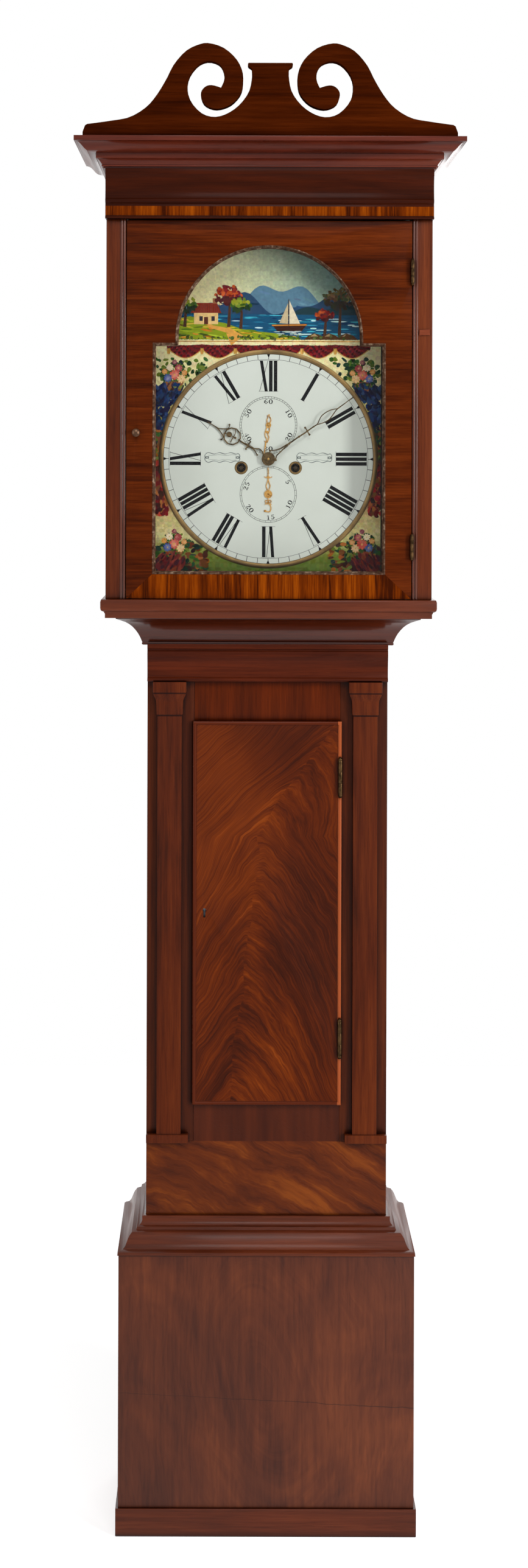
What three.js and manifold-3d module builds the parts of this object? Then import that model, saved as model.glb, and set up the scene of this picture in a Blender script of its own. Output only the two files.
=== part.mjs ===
// Tall case clock: a mahogany case with a sliding hood, and the eight-day movement inside it.
// Millimetres. +Z is up, the front faces -Y, and the origin is under the centre of the case.
import * as THREE from "three";
import { mergeVertices } from "three/addons/utils/BufferGeometryUtils.js";
import Module from "manifold-3d";

const wasm = await Module();
wasm.setup();

// Clearances
const seam = 0.3; // between boards that are glued or screwed together
const running_gap = 0.3; // around arbors, pins and pipes
const overrun = 4; // how far a cut runs past the face that it opens

// Depth of the trunk, and how far each stage of the case stands out from the next
const trunk_depth = 185;
const base_overhang = 39.5; // of the base from the trunk
const hood_overhang = 60.5; // of the hood from the trunk
const cornice_out = 45.8;
const pediment_out = 33.7;

// The hood is as wide as the dial and its door need, and the trunk follows the hood
const dial_width = 356;
const dial_lap = 6; // of the dial behind the door
const hood_stile_width = 21;
const hood_bead_width = 8;
const hood_bead_proud = 1.6;
const hood_door_gap = 1;
const hood_door_top_gap = 2;
const hood_door_stile = 39;
const dial_half = dial_width / 2;
const window_half = dial_half - dial_lap;
const hood_stile_inner = window_half + hood_door_stile + hood_door_gap;
const hood_half = hood_stile_inner + hood_bead_width + hood_stile_width;

// Hood door and its window, whose square part follows the dial
const arch_shoulder = 33.3;
const arch_stilt = 6;
const arch_margin = 6.3; // of the dial's arch round the window's arch
const window_trim = 2;
const window_rail_height = 37.2;
const window_height = 2 * window_half - window_trim;
const arch_half = window_half - arch_shoulder;
const dial_arch_half = arch_half + arch_margin;
const door_top_margin = 38.5;
const glass_thickness = 2.5;
const glass_depth = 8;

// Heights of the case, stacked from the floor up
const skirting_height = 42;
const base_board_height = 375;
const base_moulding_height = 48;
const lower_panel_height = 110.5;
const lower_rail_height = 58.4;
const trunk_opening_height = 573;
const upper_rail_height = 61.5;
const trunk_frieze_height = 55;
const throat_height = 43.3;
const hood_base_height = 28;
const hood_opening_height = window_rail_height + window_height + arch_stilt + arch_half + door_top_margin;
const hood_frieze_height = 74;
const cornice_height = 43;
const pediment_height = 136.5;

// Boards
const backboard_thickness = 12;
const base_board_thickness = 16;
const trunk_side_thickness = 14;
const frame_thickness = 19;
const hood_side_thickness = 12;
const top_board_thickness = 10;
const pediment_thickness = 18;
const trunk_lap = 50; // how far the trunk goes down inside the base

// Levels
const base_top_z = skirting_height + base_board_height;
const trunk_low_z = base_top_z + base_moulding_height;
const panel_top_z = trunk_low_z + lower_panel_height;
const opening_low_z = panel_top_z + lower_rail_height;
const opening_high_z = opening_low_z + trunk_opening_height;
const trunk_frieze_z = opening_high_z + upper_rail_height;
const throat_low_z = trunk_frieze_z + trunk_frieze_height;
const throat_top_z = throat_low_z + throat_height;
const hood_low_z = throat_top_z + seam;
const hood_opening_z = hood_low_z + hood_base_height;
const hood_frieze_z = hood_opening_z + hood_opening_height;
const cornice_low_z = hood_frieze_z + hood_frieze_height;
const cornice_top_z = cornice_low_z + cornice_height;

// Front and back planes: every overhang is the same at the front as at the sides
const trunk_half = hood_half - hood_overhang;
const base_half = trunk_half + base_overhang;
const overall_depth = trunk_depth + hood_overhang + cornice_out;
const back_y = overall_depth / 2;
const trunk_front_y = back_y - trunk_depth;
const trunk_inside_y = trunk_front_y + frame_thickness;
const base_front_y = trunk_front_y - base_overhang;
const hood_front_y = trunk_front_y - hood_overhang;
const hood_inside_y = hood_front_y + frame_thickness;
const backboard_y = back_y - backboard_thickness;

// Trunk openings and pilasters
const pilaster_inset = 33.5; // of its centre line from the trunk's edge
const pilaster_centre = trunk_half - pilaster_inset;
const pilaster_width = 36.5;
const pilaster_proud = 9;
const capital_height = 49.5;
const abacus_height = 15.5;
const abacus_width = 50;
const abacus_proud = 16;
const plinth_block_height = 12.5;
const plinth_block_width = 63;
const plinth_block_proud = 12;
const stile_reveal = 7.5; // between a pilaster's block and the opening
const trunk_opening_half = trunk_half - plinth_block_width - stile_reveal;

// Trunk door
const trunk_door_gap = 1;
const trunk_lip_lap = 1.7;
const trunk_lip_gap = 0.6;
const trunk_lip_thickness = 5.5;
const bead_width = 5.4;
const bead_proud = 2.2;
const keyhole_inset = 15;
const keyhole_radius = 2.7;
const keyhole_slot_width = 3;
const keyhole_height = 13.5;

// Lock bolt
const bolt_length = 24;
const bolt_height = 24;
const bolt_thickness = 5;
const bolt_throw = 9;

// Hinges
const trunk_knuckle_radius = 3.6;
const trunk_hinge_height = 51;
const trunk_finial_radius = 3.4;
const trunk_hinge_inset = 82;
const hood_knuckle_radius = 3;
const hood_hinge_height = 33;
const hood_finial_radius = 2.4;
const hood_hinge_inset = 78;
const hinge_pin_radius = 1.2;
const leaf_thickness = 1.5;
const leaf_depth = 15;
const leaf_pocket_gap = 0.3;

// Hood door knob
const knob_radius = 6.2;
const knob_proud = 13;
const knob_spindle_radius = 2;
const knob_inset = 14.7;
const knob_rise = 246;
const latch_length = 22;
const latch_width = 8;
const latch_thickness = 3;

// Dial and its centre, which the whole movement is placed from
const dial_drop = 0.2; // below the middle of the window's square part
const dial_centre_z = hood_opening_z + window_rail_height + window_height / 2 - dial_drop;
const dial_thickness = 1.6;
const winding_offset = 40.6;
const winding_drop = 13.4;
const winding_hole_radius = 7;
const seconds_rise = 50.7;
const date_drop = 53;

// Movement plates
const false_gap = 23.8; // between the dial and the front plate
const plate_thickness = 3;
const plate_spacing = 64;
const plate_half = 82.5;
const plate_head = 118; // above the dial's centre
const pillar_radius = 4;
const pillar_inset = 8;
const dial_foot_radius = 3;
const seatboard_thickness = 18;
const seatboard_drop = 63.6; // from the dial's centre to the seatboard's top
const seatboard_overhang = 9;
const seatboard_top_z = dial_centre_z - seatboard_drop;
const seatboard_low_z = seatboard_top_z - seatboard_thickness;

// Arbors
const arbor_radius = 1.8;
const barrel_arbor_radius = 3.5;
const pipe_wall = 0.9;
const stud_radius = 0.9;

// Wheel train: the great wheel drives the centre pinion, and so on up to the escape wheel
const great_teeth = 96;
const centre_teeth = 64;
const third_teeth = 60;
const escape_teeth = 30;
const pinion_leaves = 8;
const strike_teeth = 84;
const motion_teeth = 36;
const hour_teeth = 72;
const motion_leaves = 6;
const date_teeth = 31;
const wheel_thickness = 2;
const great_wheel_thickness = 3;
const thin_wheel_thickness = 1.5;
const pinion_length = 8;
const centre_third_distance = 28.8;
const third_escape_distance = 24.48;
const motion_distance = 34;
const motion_angle = -Math.PI / 4; // of the minute wheel, clockwise from twelve
const escape_radius = 18;
const date_wheel_radius = 19;
const tip_share = 0.62; // of the module, above the pitch circle
const root_share = 1.35; // of the module, below the pitch circle

// Depths of the wheels behind the front plate's back
const great_wheel_depth = 4;
const centre_pinion_depth = 2;
const third_wheel_depth = 13;
const escape_pinion_depth = 10;
const escape_wheel_depth = 44;
const centre_wheel_depth = 57;
const third_pinion_depth = 54;

// Barrels, lines and weights
const drum_radius = 25;
const drum_flange_radius = 27;
const drum_flange_thickness = 2;
const drum_depth = 10;
const drum_length = 43;
const line_radius = 0.9;
const line_sides = 8;
const line_bend_steps = 10;
const pulley_thickness = 5;
const pulley_drop = 77; // below the seatboard
const stirrup_length = 40;
const stirrup_width = 12;
const stirrup_thickness = 1.5;
const weight_radius = 30;
const weight_height = 190;
const weight_neck = 6;
const weight_gap = 2.5; // behind the trunk door
const winding_square_proud = 2; // in front of the dial

// Front to back: the weights hang behind the trunk door and under their barrels, and the dial is in front
const line_y = trunk_inside_y + weight_gap + weight_radius;
const plate_inside_y = line_y - drum_length / 2 - drum_depth;
const front_plate_y = plate_inside_y - plate_thickness;
const back_plate_y = plate_inside_y + plate_spacing;
const plate_outside_y = back_plate_y + plate_thickness;
const dial_back_y = front_plate_y - false_gap;
const dial_face_y = dial_back_y - dial_thickness;

// Pallets, crutch and pendulum
const swing_limit = THREE.MathUtils.degToRad(3);
const pallet_distance = 25.5; // from the escape arbor up to the pallet arbor
const pallet_thickness = 2;
const crutch_gap = 4;
const crutch_length = 116;
const crutch_width = 5;
const crutch_thickness = 1.6;
const pendulum_setback = 28; // behind the back plate
const pendulum_length = 994;
const rod_radius = 2.5;
const bob_radius = 52;
const bob_half_thickness = 13;
const suspension_rise = 7;
const suspension_length = 34;
const suspension_width = 10;
const suspension_thickness = 0.8;
const cock_width = 28;
const cock_thickness = 6;
const cock_gap = 0.5;

// Bell and hammer
const bell_radius = 42;
const bell_height = 34;
const bell_wall = 2.5;
const bell_lift = 8; // of the bell's mouth above the plates
const bell_setback = 20; // of the bell's axis behind the front plate
const bell_stand_width = 8;
const bell_stand_thickness = 3;
const hammer_arbor_out = 66;
const hammer_arbor_rise = 70;
const hammer_stem_width = 4;
const hammer_head_radius = 5;
const hammer_head_length = 11;
const hammer_gap = 1.5;

// Hands, pointing as they do at nine minutes past ten
const hand_thickness = 0.9;
const hour_hand_angle = THREE.MathUtils.degToRad(301.3);
const minute_hand_angle = THREE.MathUtils.degToRad(53.7);
const seconds_hand_angle = THREE.MathUtils.degToRad(188.4);
const date_hand_angle = THREE.MathUtils.degToRad(359.4);
const hour_hand_length = 107;
const minute_hand_length = 157.2;
const seconds_hand_length = 43.6;
const date_hand_length = 40.4;
const small_hand_gap = 1; // in front of the dial
const hour_hand_gap = 3.6;
const minute_hand_gap = 8;
const centre_tip_gap = 11;

// Colours and finishes
const mahogany = finish(0x5e2a18, 0.32, 0);
const figured_mahogany = finish(0x7a3a1c, 0.28, 0);
const deal = finish(0x8a6a48, 0.8, 0);
const brass = finish(0xa98748, 0.35, 0.9);
const steel = finish(0x6f7276, 0.4, 0.9);
const lead = finish(0x55575a, 0.7, 0.6);
const gut = finish(0xb89a62, 0.7, 0);
const painted_dial = finish(0xdfe6dc, 0.4, 0);
const window_glass = finish(0xe8f0ee, 0.05, 0, 0.3);

function finish(color, roughness, metalness, opacity = 1) {
  const settings = { color, roughness, metalness, opacity, transparent: opacity < 1 };
  return new THREE.MeshStandardMaterial(settings);
}

const clock = new THREE.Group();
const movement = new THREE.Group();
movement.position.z = dial_centre_z;
clock.add(movement);

function add(name, geometry, material, parent = clock) {
  geometry.computeVertexNormals();
  const mesh = new THREE.Mesh(geometry, material);
  mesh.name = name;
  parent.add(mesh);
  return mesh;
}

// Solids

function merged(geometry) {
  const bare = new THREE.BufferGeometry();
  bare.setAttribute("position", geometry.getAttribute("position"));
  bare.setIndex(geometry.index);
  const joined_up = mergeVertices(bare);
  const corners = joined_up.index.array;
  const kept = [];
  for (let i = 0; i < corners.length; i += 3) {
    const [a, b, c] = corners.slice(i, i + 3);
    if (a !== b && b !== c && c !== a) kept.push(a, b, c);
  }
  joined_up.setIndex(kept);
  return joined_up;
}

function to_solid(geometry) {
  const clean = merged(geometry);
  const vertProperties = Float32Array.from(clean.getAttribute("position").array);
  const triVerts = Uint32Array.from(clean.index.array);
  return new wasm.Manifold(new wasm.Mesh({ numProp: 3, vertProperties, triVerts }));
}

function to_geometry(solid) {
  const mesh = solid.getMesh();
  const geometry = new THREE.BufferGeometry();
  geometry.setAttribute("position", new THREE.BufferAttribute(mesh.vertProperties, mesh.numProp));
  geometry.setIndex(new THREE.BufferAttribute(mesh.triVerts, 1));
  return geometry;
}

function joined(...geometries) {
  return to_geometry(geometries.map(to_solid).reduce((whole, piece) => whole.add(piece)));
}

function cut(geometry, ...cutters) {
  const whole = to_solid(geometry);
  return to_geometry(cutters.map(to_solid).reduce((rest, cutter) => rest.subtract(cutter), whole));
}

function common(first, second) {
  return to_geometry(to_solid(first).intersect(to_solid(second)));
}

function box(x, y, z) {
  const geometry = new THREE.BoxGeometry(x[1] - x[0], y[1] - y[0], z[1] - z[0]);
  return geometry.translate((x[0] + x[1]) / 2, (y[0] + y[1]) / 2, (z[0] + z[1]) / 2);
}

function board(name, material, x, y, z, parent = clock) {
  const mesh = add(name, new THREE.BoxGeometry(x[1] - x[0], y[1] - y[0], z[1] - z[0]), material, parent);
  mesh.position.set((x[0] + x[1]) / 2, (y[0] + y[1]) / 2, (z[0] + z[1]) / 2);
  return mesh;
}

function polygon(points) {
  return new THREE.Shape(points.map(([a, b]) => new THREE.Vector2(a, b)));
}

function circle_hole(x, y, radius) {
  const hole = new THREE.Path();
  hole.absarc(x, y, radius, 0, 2 * Math.PI, true);
  return hole;
}

// A shape drawn in X and Z, as seen from the front, given depth along Y
function upright(shape, front, back, curve_steps = 6) {
  const settings = { depth: back - front, bevelEnabled: false, curveSegments: curve_steps };
  return new THREE.ExtrudeGeometry(shape, settings).rotateX(Math.PI / 2).translate(0, back, 0);
}

// A profile drawn in Y and Z, run along X
function lengthwise(shape, left, right, curve_steps = 6) {
  const settings = { depth: right - left, bevelEnabled: false, curveSegments: curve_steps };
  const axes = [new THREE.Vector3(0, 1, 0), new THREE.Vector3(0, 0, 1), new THREE.Vector3(1, 0, 0)];
  const turn = new THREE.Matrix4().makeBasis(...axes);
  return new THREE.ExtrudeGeometry(shape, settings).applyMatrix4(turn).translate(left, 0, 0);
}

// A plan drawn in X and Y, run up Z
function standing(shape, low, high, curve_steps = 6) {
  const settings = { depth: high - low, bevelEnabled: false, curveSegments: curve_steps };
  return new THREE.ExtrudeGeometry(shape, settings).translate(0, 0, low);
}

// A profile of [radius, y] pairs turned about an arbor, which lies along Y
function turned(profile, segments = 12) {
  return merged(new THREE.LatheGeometry(profile.map(([r, y]) => new THREE.Vector2(r, y)), segments));
}

function rod(radius, front, back, segments = 12) {
  return turned([[0, front], [radius, front], [radius, back], [0, back]], segments);
}

function pipe(inner, outer, front, back, segments = 12) {
  return turned([[inner, front], [outer, front], [outer, back], [inner, back], [inner, front]], segments);
}

function signed_volume(positions, faces) {
  let sum = 0;
  for (const [a, b, c] of faces) {
    const u = new THREE.Vector3(...positions[a]);
    const v = new THREE.Vector3(...positions[b]);
    const w = new THREE.Vector3(...positions[c]);
    sum += u.dot(v.cross(w));
  }
  return sum;
}

function from_faces(positions, faces) {
  const outward = signed_volume(positions, faces) > 0;
  const corners = faces.flatMap(([a, b, c]) => (outward ? [a, b, c] : [a, c, b]));
  const geometry = new THREE.BufferGeometry();
  geometry.setAttribute("position", new THREE.Float32BufferAttribute(positions.flat(), 3));
  geometry.setIndex(corners);
  return geometry;
}

// A profile carried through stations. Each station turns a profile point into a place in space.
function swept(profile, stations, closed) {
  const count = profile.length;
  const positions = stations.flatMap((station) => profile.map(([out, up]) => station(out, up)));
  const faces = [];
  const spans = closed ? stations.length : stations.length - 1;
  for (let s = 0; s < spans; s += 1) {
    const here = s * count;
    const next = ((s + 1) % stations.length) * count;
    for (let i = 0; i < count; i += 1) {
      const j = (i + 1) % count;
      faces.push([here + i, here + j, next + j], [here + i, next + j, next + i]);
    }
  }
  if (!closed) {
    const contour = profile.map(([out, up]) => new THREE.Vector2(out, up));
    const last = spans * count;
    for (const [a, b, c] of THREE.ShapeUtils.triangulateShape(contour, [])) {
      faces.push([a, c, b], [last + a, last + b, last + c]);
    }
  }
  return from_faces(positions, faces);
}

// A moulding round the front and both sides, mitred at the front corners
function returned(profile, half, front, low) {
  const place = (side, front_corner) => (out, up) => {
    return [side * (half + out), front_corner ? front - out : back_y, low + up];
  };
  return swept(profile, [place(-1, false), place(-1, true), place(1, true), place(1, false)], false);
}

// A bead round an upright rectangle, mitred at its four corners
function framed(profile, half, low, high, face_y) {
  const place = (side, top) => (inward, proud) => {
    return [side * (half - inward), face_y - proud, top ? high - inward : low + inward];
  };
  return swept(profile, [place(-1, false), place(1, false), place(1, true), place(-1, true)], true);
}

function arc(centre, radii, from, to, steps) {
  const points = [];
  for (let i = 0; i <= steps; i += 1) {
    const angle = from + ((to - from) * i) / steps;
    points.push([centre[0] + radii[0] * Math.cos(angle), centre[1] + radii[1] * Math.sin(angle)]);
  }
  return points;
}

// A smooth line through the given points
function smoothed(points, steps) {
  const curve = new THREE.SplineCurve(points.map(([a, b]) => new THREE.Vector2(a, b)));
  return curve.getPoints(steps * (points.length - 1)).map(({ x, y }) => [x, y]);
}

// Base

const skirting_proud = 3.5;
const skirting_round = 1.2;
const skirting_profile = [
  [-base_board_thickness, 0],
  [skirting_proud - skirting_round, 0],
  [skirting_proud, skirting_round],
  [skirting_proud, skirting_height - skirting_round],
  [skirting_proud - skirting_round, skirting_height - seam],
  [-base_board_thickness, skirting_height - seam],
];

// Profiles are shares of the overhang and of the height, from the bottom up
const base_moulding_shares = [
  [0.043, 0], [0.033, 0.097], [-0.038, 0.128], [-0.157, 0.148], [-0.23, 0.207], [-0.278, 0.298],
  [-0.349, 0.442], [-0.4, 0.509], [-0.478, 0.59], [-0.64, 0.627], [-0.663, 0.704], [-0.759, 0.738],
  [-0.833, 0.8], [-0.856, 0.868], [-0.856, 1],
];

function build_base() {
  const inside_half = base_half - base_board_thickness;
  const inside_y = base_front_y + base_board_thickness;
  const heights = [skirting_height, base_top_z - seam];
  board("base_front", mahogany, [-base_half, base_half], [base_front_y, inside_y], heights);
  for (const [name, side] of [["base_side_left", -1], ["base_side_right", 1]]) {
    const x = [side * inside_half, side * base_half].sort((a, b) => a - b);
    board(name, mahogany, x, [inside_y + seam, back_y], heights);
  }
  add("skirting", returned(skirting_profile, base_half, base_front_y, 0), mahogany);
  const profile = base_moulding_shares.map(([out, up]) => [out * base_overhang, up * base_moulding_height]);
  profile.push([seam - base_overhang, base_moulding_height], [seam - base_overhang, 0]);
  add("base_moulding", returned(profile, base_half, base_front_y, base_top_z), mahogany);
}

// Trunk

const throat_out = 46;
const throat_lip_shares = [[0.15, 0], [0.18, 0.02], [0.185, 0.06], [0.17, 0.1]];
const throat_cove_shares = [
  [0.18, 0.11], [0.222, 0.226], [0.313, 0.42], [0.487, 0.66], [0.7, 0.826], [0.987, 0.95],
];
const throat_edge_shares = [[1, 0.955], [1, 1]];
const throat_seat_share = 0.04; // of its height, that the frieze reaches up into it
const frieze_proud = 14;
const trunk_frieze_shares = [
  [0.72, 0], [0.82, 0.03], [0.82, 0.08], [0.66, 0.12], [0.62, 0.2], [0.64, 0.36], [0.74, 0.5], [0.88, 0.6],
  [0.96, 0.7], [0.94, 0.8], [0.84, 0.83], [0.84, 0.86], [1, 0.88], [1, 1],
];

function build_trunk() {
  const low = base_top_z - trunk_lap;
  const side_front = trunk_inside_y + seam;
  const cheek_top = seatboard_low_z - seam;
  const notch_z = hood_opening_z;
  const side = polygon([
    [side_front, low], [back_y, low], [back_y, notch_z], [backboard_y - seam, notch_z],
    [backboard_y - seam, cheek_top], [side_front, cheek_top],
  ]);
  const inner = trunk_half - trunk_side_thickness;
  add("trunk_side_left", lengthwise(side, -trunk_half, -inner), mahogany);
  add("trunk_side_right", lengthwise(side, inner, trunk_half), mahogany);

  const frame_y = [trunk_front_y, trunk_inside_y];
  const rail_half = trunk_opening_half - seam;
  const panel = polygon([
    [-trunk_half, low], [trunk_half, low], [trunk_half, panel_top_z], [rail_half, panel_top_z],
    [rail_half, opening_low_z], [-rail_half, opening_low_z], [-rail_half, panel_top_z],
    [-trunk_half, panel_top_z],
  ]);
  add("trunk_lower_panel", upright(panel, ...frame_y), figured_mahogany);
  const upper_rail_z = [opening_high_z, throat_top_z];
  board("trunk_upper_rail", mahogany, [-rail_half, rail_half], frame_y, upper_rail_z);

  const bolt_z = (opening_low_z + opening_high_z) / 2;
  const hinge_zs = trunk_hinge_centres();
  for (const [name, hand] of [["trunk_stile_left", -1], ["trunk_stile_right", 1]]) {
    const x = [hand * trunk_opening_half, hand * trunk_half].sort((a, b) => a - b);
    const stile = box(x, frame_y, [panel_top_z + seam, throat_top_z]);
    const cutters = hand < 0 ? [bolt_socket(bolt_z)] : hinge_zs.map((z) => trunk_stile_pocket(z));
    add(name, cut(stile, ...cutters), mahogany);
  }

  const outer = [...throat_lip_shares, ...smoothed(throat_cove_shares, 2), ...throat_edge_shares];
  const throat = outer.map(([out, up]) => [out * throat_out, up * throat_height]);
  throat.push([seam, throat_height], [seam, 0]);
  const frieze_high_z = throat_low_z + throat_seat_share * throat_height;
  const frieze = trunk_frieze_shares.map(([out, up]) => {
    return [trunk_front_y - out * frieze_proud, trunk_frieze_z + up * (frieze_high_z - trunk_frieze_z)];
  });
  const frieze_back = trunk_front_y - seam;
  frieze.push([frieze_back, frieze_high_z], [frieze_back, trunk_frieze_z]);
  const entablature = joined(
    returned(throat, trunk_half, trunk_front_y, throat_low_z),
    lengthwise(polygon(frieze.reverse()), -trunk_half, trunk_half),
  );
  add("throat_moulding", entablature, mahogany);
}

// Half of the capital's outline, as shares of the abacus overhang and of the capital's height
const capital_cove_shares = [[0.21, 0], [0.28, 0.56], [0.39, 0.68], [0.63, 0.78], [0.87, 0.9]];

function build_pilasters() {
  const top_z = trunk_frieze_z - seam;
  const low_z = panel_top_z + seam;
  const shaft_z = low_z + plinth_block_height;
  const neck_z = top_z - capital_height;
  const abacus_z = top_z - abacus_height;
  const half = pilaster_width / 2;
  const flare = abacus_width / 2 - half;
  const swell = abacus_proud - pilaster_proud;
  const cove_height = capital_height - abacus_height;
  const outer = trunk_half - pilaster_centre;
  const inner = plinth_block_width - outer;
  const cove = (base, growth) => capital_cove_shares.map(([out, up]) => {
    return [base + out * growth, neck_z + up * cove_height];
  });
  const edge = (base, growth, foot) => [
    [foot, low_z], [foot, shaft_z], [base, shaft_z], [base, neck_z], ...cove(base, growth),
    [base + growth, abacus_z], [base + growth, top_z],
  ];
  for (const [name, hand] of [["pilaster_left", -1], ["pilaster_right", 1]]) {
    const right = edge(half, flare, hand < 0 ? inner : outer);
    const left = edge(half, flare, hand < 0 ? outer : inner).map(([x, z]) => [-x, z]);
    const front_view = polygon([...right, ...left.reverse()]);
    const outs = edge(pilaster_proud, swell, plinth_block_proud);
    const depth = outs.map(([out, z]) => [trunk_front_y - out, z]);
    const side_view = polygon([...depth, [trunk_front_y - seam, top_z], [trunk_front_y - seam, low_z]]);
    const front_y = trunk_front_y - plinth_block_proud - overrun;
    const solid = common(
      upright(front_view, front_y, trunk_front_y + overrun),
      lengthwise(side_view, -plinth_block_width, plinth_block_width),
    );
    add(name, solid, mahogany).position.x = hand * pilaster_centre;
  }
}

function build_backboard() {
  const base_inner = base_half - base_board_thickness - seam;
  const trunk_inner = trunk_half - trunk_side_thickness - seam;
  const hood_inner = hood_half - hood_side_thickness - 3 * seam;
  const base_z = base_top_z - trunk_lap - seam;
  const ear_z = hood_opening_z + seam;
  const right = [
    [base_inner, 0], [base_inner, base_z], [trunk_inner, base_z], [trunk_inner, ear_z],
    [hood_inner, ear_z], [hood_inner, cornice_low_z - seam],
  ];
  const left = right.map(([x, z]) => [-x, z]).reverse();
  add("backboard", upright(polygon([...right, ...left]), backboard_y, back_y), deal);
}

// Hinges: each has a leaf and outer knuckles with the pin on the fixed side, and a leaf and a middle
// knuckle on the moving side. They are drawn round a pin at x 0, y 0, standing between low and high.

function along_z(geometry) {
  return geometry.rotateX(Math.PI / 2);
}

function fixed_leaf(knuckle_radius, finial_radius, height, reach, leaf_x) {
  const third = height / 3;
  const half = height / 2;
  const outer = [];
  for (const end of [-1, 1]) {
    const low = end < 0 ? -half : half - third + seam;
    outer.push(along_z(rod(knuckle_radius, low, low + third - seam)));
    const ball = new THREE.SphereGeometry(finial_radius, 10, 6);
    outer.push(ball.translate(0, 0, end * (half + finial_radius / 2)));
  }
  const pin = along_z(rod(hinge_pin_radius, -half + seam, half - seam));
  const leaf = box([leaf_x, leaf_x + leaf_thickness], [0, reach], [-half, half]);
  const space = box(
    [-overrun, overrun + leaf_thickness], [-knuckle_radius - overrun, knuckle_radius + seam],
    [-half + third - seam, half - third + seam],
  );
  return joined(cut(leaf, space), ...outer, pin);
}

function moving_leaf(knuckle_radius, height, reach, leaf_x) {
  const third = height / 3;
  const half = height / 2;
  const knuckle = along_z(pipe(hinge_pin_radius + running_gap, knuckle_radius, -third / 2, third / 2));
  const leaf = box([leaf_x - leaf_thickness, leaf_x], [0, reach], [-half, half]);
  const gap_y = [-knuckle_radius - overrun, knuckle_radius + seam];
  const gap_x = [-overrun - leaf_thickness, overrun];
  const above = box(gap_x, gap_y, [third / 2, half + overrun]);
  const below = box(gap_x, gap_y, [-half - overrun, -third / 2]);
  const bore = along_z(rod(hinge_pin_radius + running_gap, -half, half));
  return joined(cut(leaf, above, below, bore), knuckle);
}

// Trunk door

const trunk_door_half = trunk_opening_half - trunk_door_gap;
const trunk_lip_half = trunk_opening_half + trunk_lip_lap;
const trunk_lip_back_y = trunk_front_y - trunk_lip_gap;
const trunk_lip_front_y = trunk_lip_back_y - trunk_lip_thickness;
const trunk_pin_x = trunk_opening_half - trunk_door_gap / 2;
const trunk_pin_y = trunk_lip_front_y - trunk_knuckle_radius - running_gap;

function trunk_hinge_centres() {
  const top = opening_high_z - trunk_hinge_inset;
  const low = opening_low_z + trunk_hinge_inset + trunk_hinge_height / 3;
  return [top, low];
}

const trunk_leaf_reach = trunk_front_y + leaf_depth - trunk_pin_y;
const trunk_leaf_split = 0.2; // half of the space between the two leaves

function trunk_stile_pocket(z) {
  const deep = trunk_pin_x + trunk_leaf_split + leaf_thickness + leaf_pocket_gap;
  return box(
    [trunk_opening_half - overrun, deep],
    [trunk_front_y - overrun, trunk_front_y + leaf_depth + leaf_pocket_gap],
    [z - trunk_hinge_height / 2 - leaf_pocket_gap, z + trunk_hinge_height / 2 + leaf_pocket_gap],
  );
}

function trunk_door_pocket(z) {
  const shallow = trunk_pin_x - trunk_leaf_split - leaf_thickness - leaf_pocket_gap;
  return box(
    [shallow, trunk_lip_half + overrun],
    [trunk_lip_front_y - bead_proud - overrun, trunk_front_y + leaf_depth + leaf_pocket_gap],
    [z - trunk_hinge_height / 2 - leaf_pocket_gap, z + trunk_hinge_height / 2 + leaf_pocket_gap],
  );
}

// The bead is cut away round the knuckles and their finials
function trunk_bead_notch(z) {
  const reach = trunk_knuckle_radius + running_gap;
  const tall = trunk_hinge_height / 2 + 1.5 * trunk_finial_radius + running_gap;
  return box(
    [trunk_pin_x - reach, trunk_lip_half + overrun],
    [trunk_lip_front_y - bead_proud - overrun, trunk_lip_front_y], [z - tall, z + tall],
  );
}

const bolt_y = (trunk_front_y + trunk_inside_y) / 2;

function bolt_space(x, z, gap) {
  const half_thickness = bolt_thickness / 2 + gap;
  const half_height = bolt_height / 2 + gap;
  return box(x, [bolt_y - half_thickness, bolt_y + half_thickness], [z - half_height, z + half_height]);
}

function bolt_socket(z) {
  const deep = trunk_door_half + bolt_throw + overrun;
  return bolt_space([-deep, -trunk_opening_half + overrun], z, running_gap);
}

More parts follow.
